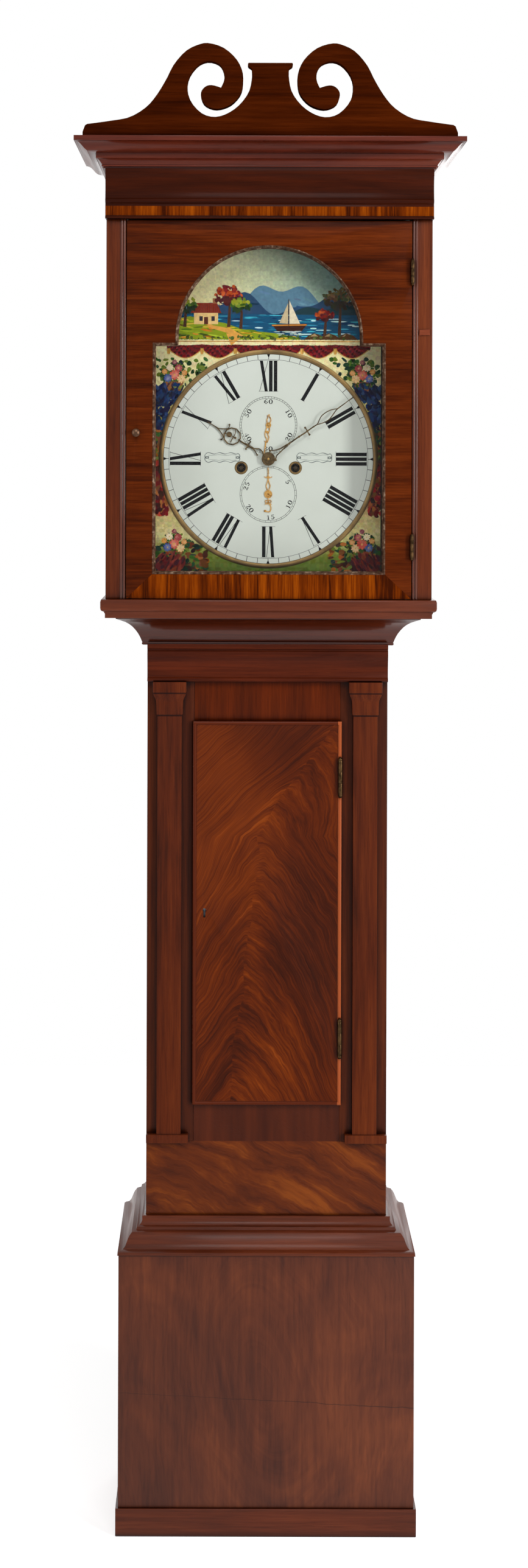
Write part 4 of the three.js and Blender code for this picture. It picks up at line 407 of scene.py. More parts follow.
def plain(name, tones, scale, rough, bump=0.0002, places=(0.3, 0.7)):
    s = Shader(name)
    s.link("Base Color", s.ramp(s.noise(scale, 5, 0.6), *zip(places, tones))).link("Roughness", rough)
    return s.bump(s.noise(scale * 7, 3), bump, 0.4).material


enamel = plain("dial_white", ((224, 231, 219), (232, 239, 228)), 9, 0.3, 0.00005)
cream = plain("cream_line", ((214, 206, 170), (232, 226, 196)), 80, 0.4)
ink = plain("numeral_black", ((12, 13, 15), (22, 23, 25)), 200, 0.4, 0.00003)
grey_ink = plain("flourish_grey", ((120, 130, 126), (150, 158, 152)), 200, 0.5, 0.00003)
putty = plain("putty", ((58, 34, 24), (112, 82, 64), (196, 170, 144)), 150, 0.6, places=(0.35, 0.55, 0.72))
# The dial mask is near black: painted shade in the gap round the dial, behind the window
mask_shade_black = plain("mask_shade_black", ((14, 10, 8), (26, 19, 15)), 90, 0.6)
for dull in (ink, grey_ink, putty, cream, mask_shade_black):
    Shader(dull).link("Specular IOR Level", 0.06)


def glass_material():
    """Clear glass that casts no shadow."""
    s = Shader("window_glass")
    s.link("Base Color", (1, 1, 1, 1)).link("Transmission Weight", 1.0)
    s.link("Roughness", 0.02).link("IOR", 1.16)
    s.bump(s.noise(14, 2), 0.0004, 0.05)
    s.swap(s.rays("Shadow", "Diffuse"), s.bsdf, s.node("BsdfTransparent"), "Material Output")
    return s.material


def painted_material():
    s = Shader("picture_paint")
    colour = s.value("VertexColor", (), "Color", layer_name="paint")
    mottle = s.noise(260, 4, 0.6)
    tone = s.ramp(mottle, (0.3, (1.04, 1.04, 1.04, 1)), (0.7, (1.6, 1.6, 1.57, 1)))
    s.link("Base Color", s.mix(0.7, colour, tone, "MULTIPLY")).link("Roughness", 0.45)
    return s.link("Specular IOR Level", 0.05).bump(mottle, 0.0001, 0.3).material


# CAD nodes: soft edges, smooth turned faces, and their materials

def smooth_group():
    """Shades faces smooth, but for edges of more than 32 degrees."""
    group = bpy.data.node_groups.new("smooth_by_angle", "GeometryNodeTree")
    for way in ("INPUT", "OUTPUT"):
        group.interface.new_socket("Geometry", in_out=way, socket_type="NodeSocketGeometry")
    s = Shader(group)
    angle = s.value("GeometryNodeInputMeshEdgeAngle", (), "Unsigned Angle")
    compare = {"data_type": "FLOAT", "operation": "GREATER_THAN"}
    wide = s.value("FunctionNodeCompare", {0: angle, 1: math.radians(32)}, **compare)
    inputs = {"Geometry": s.value("NodeGroupInput"), "Shade Smooth": True}
    smooth = s.value("GeometryNodeSetShadeSmooth", inputs, domain="FACE")
    inputs = {"Geometry": smooth, "Selection": wide, "Shade Smooth": False}
    s.node("NodeGroupOutput", {0: s.value("GeometryNodeSetShadeSmooth", inputs, domain="EDGE")})
    return group


SMOOTH = smooth_group()


def dress(name, material, edge):
    """edge is the width of the softened edges in millimetres."""
    made = nodes[name]
    made.data.materials.clear()
    made.data.materials.append(material)
    weld = made.modifiers.new("weld", "WELD")
    weld.merge_threshold = 0.00001
    if edge:
        bevel = made.modifiers.new("edge", "BEVEL")
        bevel.width = edge * MM
        bevel.segments = 2
        bevel.limit_method = "ANGLE"
        bevel.angle_limit = math.radians(40)
    shade = made.modifiers.new("shade", "NODES")
    shade.node_group = SMOOTH


for patterns, material, edge in (
    ("trunk_side_* hood_side_*", upright, 0.5),
    # The recessed stiles take a darker copy of the upright wood: painted shade in the recess
    ("trunk_stile_*", wood("mahogany_recess_shade", ((50, 19, 7), (83, 34, 14), (108, 48, 20)), seed=1.5), 0.5),
    ("pilaster_*", pilaster_wood, 0.5),
    ("hood_stile_*", reeded, 0.3),
    ("hood_base_moulding base_moulding skirting", across, 0.5),
    ("throat_moulding", throat_wood, 0.5),
    ("cornice", cornice_wood, 0.5),
    ("hood_frieze", frieze_wood, 0.5),
    ("pediment", crest_wood, 0.5),
    ("trunk_upper_rail", rail_wood, 0.5),
    ("base_front base_side_*", base_veneer(), 0.6),
    ("hood_door_frame", hood_across, 0.5),
    ("trunk_door", trunk_door_veneer(), 0.4),
    ("trunk_lower_panel", lower_panel_veneer(), 0.4),
    ("backboard hood_top_board seatboard", softwood, 0.8),
    ("*_hinge_* *_door_leaf_*", metal("hinge_brass", (86, 64, 40), (36, 26, 16), 0.36, 140), 0.15),
    ("movement_*_plate centre_arbor *_wheel bell pendulum", brass, 0.15),
    ("*_barrel", barrel_brass, 0.15),
    ("hood_knob", metal("knob_bronze", (96, 72, 56), (44, 30, 24), 0.3), 0.15),
    ("seconds_hand date_hand", gilt, 0),
    ("hour_hand minute_hand", metal("hand_metal", (98, 80, 52), (36, 28, 18), 0.36, 180), 0),
    ("lock_bolt pallets hammer", metal("steel", (150, 152, 156), (84, 84, 88), 0.34), 0.1),
    ("*_weight", metal("weight_iron", (92, 92, 96), (48, 48, 52), 0.6, 40, 0.7), 0.8),
    ("*_line", plain("gut_line", ((140, 108, 62), (188, 152, 96)), 300, 0.6), 0),
    ("dial", plain("dial_ground", ((88, 92, 58), (120, 118, 80)), 30, 0.5), 0),
    ("hood_glass", glass_material(), 0),
):
    for pattern in patterns.split():
        for name in fnmatch.filter(nodes, pattern):
            dress(name, material, edge)


# Flat and swept pieces of the scene's own, in millimetres

def add_mesh(name, verts, faces, material):
    mesh = bpy.data.meshes.new(name)
    mesh.from_pydata([tuple(c * MM for c in v) for v in verts], [], faces)
    mesh.materials.append(material)
    return add_object(name, mesh)


def mesh_piece(name, verts, faces, material, body, smooth=True):
    made = add_mesh(name, verts, faces, material)
    if smooth:
        made.data.polygons.foreach_set("use_smooth", [True] * len(faces))
        made.data.set_sharp_from_angle(angle=math.radians(35))
    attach(made, body)
    return made


def closed_sweep(path, inward, section, front):
    """A section of (in, back) offsets carried round a closed X-Z path, with the way in at each point."""
    verts, faces = [], []
    count, size = len(path), len(section)
    for (x, z), (dx, dz) in zip(path, inward):
        verts += [(x + dx * a, front + back, z + dz * a) for a, back in section]
    for i in range(count):
        here, there = i * size, ((i + 1) % count) * size
        for j in range(size):
            k = (j + 1) % size
            faces.append((here + j, here + k, there + k, there + j))
    return verts, faces


def triangles(loops):
    """Triangles, turned to the front, that fill the first loop and leave the others open."""
    flat = [[Vector((x, z, 0)) for x, z in loop] for loop in loops]
    every = [p for loop in flat for p in loop]
    faces = []
    for a, b, c in tessellate_polygon(flat):
        if (every[b] - every[a]).cross(every[c] - every[a]).z < 0:
            b, c = c, b
        faces.append((a, b, c))
    return faces


def plate(name, loops, front, thick, material, body):
    """A board in the shape of the first loop, with the others as holes. All run the same way round."""
    points = [p for loop in loops for p in loop]
    count = len(points)
    verts = [(x, y, z) for y in (front, front + thick) for x, z in points]
    faces = []
    for a, b, c in triangles(loops):
        faces += [(a, b, c), (a + count, c + count, b + count)]
    start = 0
    for loop in loops:
        for i in range(len(loop)):
            a, b = start + i, start + (i + 1) % len(loop)
            side = (a, a + count, b + count, b)
            faces.append(side if start == 0 else side[::-1])
        start += len(loop)
    mesh_piece(name, verts, faces, material, body)


# The dial's own measures. Places on it are in X and Z from its centre.
dial_low, dial_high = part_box("dial")
FACE = dial_low.y / MM
DIAL_HALF = dial_high.x / MM
ARCH_HALF = (dial_high.z - dial_low.z) / MM - 2 * DIAL_HALF
CENTRE_Z = dial_low.z / MM + DIAL_HALF
CENTRE = (0, 0)
SECONDS = (0, 50.7)
DATE = (0, -53)
WINDING_X, WINDING_Z = 40.6, -13.4
DISC = 158
QUARTERS = ((-1, -1), (-1, 1), (1, -1), (1, 1))
# Steps forward from one coat of paint to the next
COAT = 40


def polar(centre, radius, angle, aside=0.0):
    """A point at an angle clockwise from twelve, moved aside to its right."""
    sine, cosine = math.sin(angle), math.cos(angle)
    return centre[0] + radius * sine + aside * cosine, centre[1] + radius * cosine - aside * sine


def around(centre, radius, steps):
    """Points all the way round a centre, from the right over the top."""
    return [polar(centre, radius, TURN * (0.25 - i / steps)) for i in range(steps)]


class Paint:
    """Flat coloured shapes in X and in Z above a base. Shapes are a step apart, and each coat is in front of
    the last."""

    def __init__(self, front, step=0.0, base=CENTRE_Z):
        self.front, self.step, self.base, self.first, self.count = front, step, base, front, 0
        self.verts, self.faces, self.colours = [], [], []

    def add(self, points, faces, colour):
        start = len(self.verts)
        self.verts += [(x, self.front, self.base + z) for x, z in points]
        self.faces += [tuple(start + i for i in face) for face in faces]
        self.colours += [colour] * len(faces)
        self.count += 1
        self.front = self.first - self.step * (self.count % COAT)

    def level(self, row, column):
        """The depth of a blot of the ground, unlike that of any blot beside it."""
        self.count = 13 * (row % 3) + column % 13
        self.front = self.first - self.step * self.count

    def coat(self):
        """Starts the next coat."""
        self.first -= self.step * COAT
        self.front, self.count = self.first, 0

    def shape(self, points, colour=(0, 0, 0), holes=()):
        loops = [points, *holes]
        self.add([p for loop in loops for p in loop], triangles(loops), colour)

    def blot(self, x, z, rx, rz, colour, turn=0.0, rough=0.1, sides=7):
        points = []
        for i in range(sides):
            a = TURN * i / sides
            r = 1 + uniform(-rough, rough)
            u, v = rx * r * math.cos(a), rz * r * math.sin(a)
            points.append(polar((x, z), v, -turn, u))
        self.shape(points, colour)

    def band(self, points, widths, colour=(0, 0, 0)):
        """A line through the points, of one width or of a width at each."""
        left, right = [], []
        for i, (x, z) in enumerate(points):
            ax, az = points[max(i - 1, 0)]
            bx, bz = points[min(i + 1, len(points) - 1)]
            length = math.hypot(bx - ax, bz - az) or 1
            nx, nz = -(bz - az) / length, (bx - ax) / length
            half = (widths[i] if hasattr(widths, "__len__") else widths) / 2
            left.append((x + nx * half, z + nz * half))
            right.append((x - nx * half, z - nz * half))
        count = len(points)
        self.add(left + right, [(i, i + count, i + count + 1, i + 1) for i in range(count - 1)], colour)

    def circle(self, centre, radius, width, steps=96):
        points = around(centre, radius, steps)
        self.band(points + points[:1], width)

    def make(self, name, material, coloured=False):
        made = mesh_piece(name, self.verts, self.faces, material, "case", smooth=False)
        if coloured:
            layer = made.data.color_attributes.new("paint", "FLOAT_COLOR", "CORNER")
            for polygon, colour in zip(made.data.polygons, self.colours):
                for loop in polygon.loop_indices:
                    layer.data[loop].color = rgb(*colour)


# Dial: white disc, ring, minute track, numerals and the two small dials

def ring_piece(name, centre, section, front, material, segments):
    path = [(centre[0], CENTRE_Z + centre[1])] * segments
    verts, faces = closed_sweep(path, around(CENTRE, 1, segments), section, front)
    mesh_piece(name, verts, faces, material, "case")


def build_dial():
    front = FACE - 0.6
    disc = Paint(front)
    holes = [(x, WINDING_Z, 7) for x in (WINDING_X, -WINDING_X)]
    holes += [(*CENTRE, 5.2), (*SECONDS, 2.5), (*DATE, 2.8)]
    disc.shape(around(CENTRE, DISC, 144), holes=[around((x, z), radius, 24) for x, z, radius in holes])
    disc.make("dial_disc", enamel)
    section = [(-0.5, 0.2), (-0.3, -0.9), (1.6, -1.5), (4.4, -1.3), (6.2, -0.4), (6.4, 0.4)]
    section = [(DISC + out, back) for out, back in section]
    ring_piece("dial_ring", CENTRE, section, front, ring_brass, 144)
    rim = [(6.7, 0.3), (6.6, -0.7), (7.4, -1.3), (8.8, -1.2), (9.8, -0.3), (9.9, 0.1)]
    # A near-black ring round each winding square: painted shade down in the winding hole
    hole_shade = [(4.3, 0.5), (4.3, 0.15), (6.9, 0.15), (6.9, 0.5)]
    for x, side in ((WINDING_X, "right"), (-WINDING_X, "left")):
        ring_piece(f"winding_grommet_{side}", (x, WINDING_Z), rim, front, ring_brass, 40)
        ring_piece(f"winding_hole_shade_{side}", (x, WINDING_Z), hole_shade, front, ink, 40)

    marks = Paint(front - 0.08)
    track_in, track_out = 149.5, 157.3
    marks.circle(CENTRE, track_in, 0.45, 144)
    marks.circle(CENTRE, track_out, 0.5, 144)
    for i in range(60):
        angle = TURN * i / 60
        marks.band([polar(CENTRE, track_in, angle), polar(CENTRE, track_out, angle)], 0.8)
        if i % 5 == 0:
            foot = [polar(CENTRE, 157.4, angle + spread) for spread in (-0.0155, 0.0155)]
            marks.shape([polar(CENTRE, 151.6, angle), *foot])
    # The first number of a small dial stands at its top
    for place, outer, count, numbers in (
        (SECONDS, 43.0, 60, (60, 10, 20, 30, 40, 50)), (DATE, 42.4, 31, (1, 5, 10, 15, 20, 25)),
    ):
        marks.circle(place, outer, 0.5)
        marks.circle(place, outer - 2.5, 0.45)
        for i in range(count):
            angle = TURN * i / count
            marks.band([polar(place, outer - 2.5, angle), polar(place, outer, angle)], 0.45)
        for number in numbers:
            angle = 0 if number == numbers[0] else TURN * number / count
            digits(marks, place, outer - 7.6, angle, str(number))
    for hour in range(12):
        numeral(marks, hour)
    marks.make("dial_numbers", ink)

    flourish = Paint(front - 0.08)
    for side, up in QUARTERS:
        def at(along, height):
            return side * 69 + along, 2 + up * height

        rail = [at(25 * (i / 12 - 1), 6.2 + 1.1 * math.sin(i * math.pi / 4)) for i in range(25)]
        flourish.band(rail, [0.5 + 0.8 * abs(math.sin(i * math.pi / 8)) for i in range(25)])
        flourish.band([at(21 * (i / 10 - 1), 3.6 - 0.7 * math.sin(i * math.pi / 5)) for i in range(21)], 0.45)
        for way in (-1, 1):
            curl = []
            for i in range(15):
                a, r = i / 14 * 1.6 * math.pi, 4.6 * (1 - 0.6 * i / 14)
                curl.append(at(way * (22.5 + r * math.sin(a)), 1.6 + r * math.cos(a)))
            flourish.band(curl, [0.5 + 1.0 * math.sin(math.pi * i / 14) for i in range(15)])
    flourish.make("dial_flourishes", grey_ink)


# The width of each letter of the Roman numerals
LETTERS = {"I": 7.1, "V": 12.9, "X": 13.9}
NUMERALS = "XII I II III IIII V VI VII VIII IX X XI".split()


def numeral(marks, hour):
    """Letters of heavy and hair strokes, which lean as the letters do."""
    angle = TURN * hour / 12
    low, high, heavy, hair = 101.5, 147.6, 5.2, 0.7
    text = NUMERALS[hour]
    reach = sum(LETTERS[c] for c in text) / 2
    left = -reach

    def stroke(x0, x1, width):
        half = width / 2
        corners = ((x0 - half, low), (x0 + half, low), (x1 + half, high), (x1 - half, high))
        marks.shape([polar(CENTRE, r, angle, x) for x, r in corners])

    for letter in text:
        half = LETTERS[letter] / 2
        middle = left + half
        if letter == "I":
            stroke(middle, middle, heavy)
        elif letter == "V":
            stroke(middle - 0.3, middle - half + heavy / 2 + 0.4, heavy - 0.6)
            stroke(middle + 0.6, middle + half - 0.6, hair)
        else:
            stroke(middle + half - heavy / 2 - 0.6, middle - half + heavy / 2 + 0.6, heavy - 0.6)
            stroke(middle - half + 0.7, middle + half - 0.7, hair)
        left += 2 * half
    for r in (low, high):
        marks.band([polar(CENTRE, r, angle, x) for x in (-reach - 0.6, reach + 0.6)], 0.4)


# Digits as strokes on a 4 by 6 grid, each point with a width
DIGITS = {
    "0": [[
        (2, 6, .5), (.8, 5.2, .9), (.35, 3, 1.2), (.8, .8, .9), (2, 0, .5), (3.2, .8, .9), (3.65, 3, 1.2),
        (3.2, 5.2, .9), (2, 6, .5),
    ]],
    "1": [[(.9, 4.9, .4), (2.1, 5.9, .8), (2.1, 0, 1.1)], [(1, .1, .4), (3.2, .1, .4)]],
    "2": [[
        (.6, 4.6, .9), (1.2, 5.7, .6), (2.4, 6, .6), (3.4, 4.8, 1.1), (2.6, 3.2, .9), (.5, .3, .4),
        (3.7, .3, 1.0), (3.8, 1.2, .4),
    ]],
    "3": [[
        (.6, 5, .8), (1.9, 6, .5), (3.2, 4.9, 1.1), (1.7, 3.3, .5), (3.5, 1.8, 1.2), (2, 0, .5), (.5, 1, .9),
    ]],
    "4": [[(3.8, 1.8, .5), (.2, 1.8, .6), (2.8, 6, .6), (2.8, 0, 1.1)]],
    "5": [[
        (3.5, 5.9, .6), (1.1, 5.9, .8), (.8, 3.3, .5), (2.2, 3.8, .6), (3.5, 2, 1.2), (2, 0, .6),
        (.5, .9, .9),
    ]],
    "6": [[
        (3.3, 5.4, .8), (2.2, 6, .5), (.8, 4.4, .9), (.4, 2, 1.2), (2, 0, .6), (3.5, 1.8, 1.1), (2, 3.5, .5),
        (.6, 2.4, .5),
    ]],
}


def digits(marks, centre, radius, angle, text):
    """Digits stand with their tops outward, or inward in the lower half."""
    size, wide = 1.08, 1.42
    step = 4.9 * wide
    start = -step * len(text) / 2 + 0.4 * wide
    flip = -1 if math.pi / 2 + 0.1 < angle < 1.5 * math.pi - 0.1 else 1
    for i, digit in enumerate(text):
        for stroke in DIGITS[digit]:
            points = [
                polar(centre, radius + flip * (gz - 3) * size, angle, flip * (start + i * step + gx * wide))
                for gx, gz, _ in stroke
            ]
            marks.band(points, [max(0.6, w * 1.35) * size for _, _, w in stroke])


# Painted corners and arch: a lake among hills above, and drapery with flowers in the corners

def jitter(colour, amount):
    k = uniform(-amount, amount)
    return tuple(max(0, min(255, c + k + uniform(-amount, amount) * 0.5)) for c in colour)


def blend_colour(a, b, t):
    return tuple(x + (y - x) * t for x, y in zip(a, b))


def in_oval(x, z, wide, tall, power):
    """A random point of an oval. The lower the power, the more of them lie near its edge."""
    a, r = uniform(0, TURN), random.random() ** power
    return x + wide * r * math.cos(a), z + tall * r * math.sin(a)


def build_arch_picture():
    """Heights are from the foot of the arch."""
    random.seed(11)
    paint = Paint(FACE - 0.02, 0.001, CENTRE_Z + DIAL_HALF)

    def inside(x, z, margin):
        return math.hypot(x, z) < ARCH_HALF - margin and z > margin * 0.3

    def sky(x, z):
        t = (x + ARCH_HALF) / (2 * ARCH_HALF)
        low = blend_colour((248, 228, 156), (170, 200, 184), t)
        high = blend_colour((232, 222, 170), (48, 100, 112), t ** 1.5)
        return blend_colour(low, high, min(1, z / ARCH_HALF))

    for row in range(29):
        for column in range(58):
            x, z = -ARCH_HALF + 5 * column, 1 + 5 * row
            if inside(x, z, 3.4):
                paint.level(row, column)
                paint.blot(x, z, 4.6, 3.6, jitter(sky(x, z), 5))
    paint.coat()

    def ridge(height, phase, low, colour, spread, strokes):
        paint.coat()
        reach = math.sqrt((ARCH_HALF - 1.2) ** 2 - low ** 2)
        points = []
        for i in range(41):
            x = -ARCH_HALF + 2 * ARCH_HALF * i / 40
            rise = 0.55 + 0.3 * math.sin(x / 31 * spread + phase) + 0.15 * math.sin(x / 11 + phase * 3)
            x = max(-reach, min(reach, x))
            points.append((x, min(low + height * rise, math.sqrt((ARCH_HALF - 1.5) ** 2 - x * x))))
        paint.shape([*points, (points[-1][0], low * 0.4), (points[0][0], low * 0.4)], colour)
        for _ in range(strokes):
            x, z = points[random.randrange(40)]
            z = uniform(low * 0.5, z - 1)
            if inside(x, z, 8):
                paint.blot(x, z, uniform(4, 11), uniform(0.8, 2), jitter(colour, 18),
                           uniform(-0.5, 0.3), 0.15)

    ridge(56, 1.0, 34, (86, 124, 146), 1.0, 24)
    ridge(44, 3.6, 30, (34, 66, 98), 1.4, 30)
    ridge(30, 5.2, 26, (22, 52, 60), 0.8, 26)

    # Lake, near shore and path
    paint.coat()
    reach = math.sqrt((ARCH_HALF - 1.4) ** 2 - 40 ** 2)
    paint.shape([
        (-reach, 40), (reach, 38), (ARCH_HALF - 3, 14), (ARCH_HALF - 1.4, 1.2), (-ARCH_HALF + 1.4, 1.2),
        (-ARCH_HALF + 3, 14),
    ], (10, 76, 112))
    paint.coat()
    for _ in range(150):
        x, z = uniform(-135, 135), uniform(3, 39)
        if inside(x, z, 4):
            tone = choice([(8, 60, 100), (16, 110, 146), (70, 184, 202), (6, 34, 64), (196, 234, 232)])
            paint.blot(x, z, uniform(4, 13), uniform(0.5, 1.3), jitter(tone, 12))
    paint.coat()
    paint.shape([
        (-144, 1.2), (-141, 32), (-118, 36), (-92, 30), (-66, 26), (-40, 17), (-12, 13), (18, 10), (40, 4),
        (48, 1.2),
    ], (132, 152, 22))
    paint.coat()
    for _ in range(110):
        x, z = uniform(-140, 44), uniform(2, 32)
        if z < 30 - (x + 110) * 0.17 and inside(x, z, 5):
            tone = choice([(160, 178, 30), (92, 128, 24), (214, 178, 52), (62, 88, 22), (206, 124, 30)])
            paint.blot(x, z, uniform(4, 12), uniform(0.7, 1.8), jitter(tone, 14), uniform(-0.2, 0.1), 0.15)
    paint.coat()
    paint.band([(-60, 1.4), (-44, 8), (-58, 14), (-84, 20), (-96, 27)], [20, 12, 8, 5, 3], (222, 160, 72))
    for x, flip in ((92, 1), (118, -1), (70, 1)):
        rock = [(x - 17, 1.3), (x - 11, 7), (x - 2, 11), (x + 8, 8), (x + 16, 1.3)]
        paint.shape(rock, jitter((88, 60, 30), 12))
        paint.shape([(x - 8, 6), (x - 1, 10.4), (x + 4 * flip, 6)], (164, 140, 96))

    # Cottage
    paint.coat()
    paint.shape([(-112, 24), (-76, 24), (-76, 42), (-112, 42)], (232, 196, 128))
    paint.shape([(-117, 41), (-71, 41), (-78, 56), (-110, 56)], (132, 40, 20))
    for i in range(14):
        x = -114 + i * 3.1
        paint.band([(x, 41.5), (x * 0.97 - 2.8, 55.5)], 0.7, jitter((86, 36, 24), 18))
    for x in (-104, -86):
        paint.shape([(x, 29), (x + 5, 29), (x + 5, 36), (x, 36)], (48, 40, 48))
    paint.shape([(-97, 24), (-91, 24), (-91, 35), (-97, 35)], (84, 36, 22))
    paint.shape([(-84, 55), (-78, 55), (-78, 63), (-84, 63)], (150, 96, 62))

    def tree(x, z, height, spread, tones, count):
        """The first tone is for the shade under the leaves."""
        paint.coat()
        trunk = [(x, z), (x + 1.5, z + height * 0.5), (x - 1, z + height * 0.85)]
        paint.band(trunk, [5, 3.4, 1.4], (70, 42, 26))
        middle, tall = z + height * 0.74, spread * 0.66
        for _ in range(count):
            bx, bz = in_oval(x, middle, spread, tall, 0.6)
            if inside(bx, bz, 6.5):
                tone = tones[0] if bz < middle - 0.2 * tall else choice(tones[1:])
                paint.blot(bx, bz, uniform(2, 4.6), uniform(1.6, 3.2), jitter(tone, 15), uniform(0, 3), 0.3)

    greens = [(20, 44, 16), (48, 84, 20), (92, 122, 28), (144, 152, 40)]
    russets = [(66, 12, 16), (130, 26, 22), (182, 72, 24), (100, 16, 30)]
    tree(-126, 20, 46, 17, greens, 60)
    tree(-60, 20, 64, 22, russets, 110)
    tree(-42, 17, 48, 15, greens, 62)
    tree(106, 8, 74, 24, [(48, 40, 30), (92, 66, 40), (120, 98, 52), (62, 78, 44)], 120)
    tree(84, 8, 40, 13, russets, 46)

    # Boat with its wake, and grass along the foot
    paint.coat()
    paint.shape([(4, 24), (58, 25), (50, 14), (13, 14)], (52, 22, 12))
    paint.band([(5, 22.6), (57, 23.4)], 1.8, (214, 138, 50))
    paint.band([(30, 22), (30, 62)], 0.9, (66, 46, 32))
    paint.shape([(31, 25), (47, 25), (31, 60)], (226, 214, 184))
    paint.shape([(29, 25), (29, 56), (16, 26)], (196, 178, 140))
    paint.coat()
    for _ in range(30):
        x = uniform(12, 48)
        paint.blot(x, uniform(8, 15), uniform(2, 6), 0.6, jitter((180, 200, 190), 20), sides=6)
    for _ in range(60):
        x, z = uniform(-138, 130), uniform(2, 7)
        if inside(x, z, 4) and not (46 < x < 60):
            paint.blot(x, z, uniform(1, 3), uniform(1, 3), jitter((70, 88, 32), 22), uniform(0, 3), 0.3, 6)
    paint.make("arch_picture", painted_material(), coloured=True)


# Ground of the corners from the foot to the top: grass, sky, drapery, shade, field and sky again
GROUND = (
    (0.0, (70, 92, 28)), (0.1, (104, 118, 40)), (0.17, (206, 196, 136)), (0.28, (196, 176, 116)),
    (0.33, (104, 22, 20)), (0.48, (74, 16, 16)), (0.54, (46, 34, 14)), (0.6, (96, 92, 26)),
    (0.67, (156, 150, 52)), (0.76, (206, 198, 140)), (1.0, (238, 226, 172)),
)


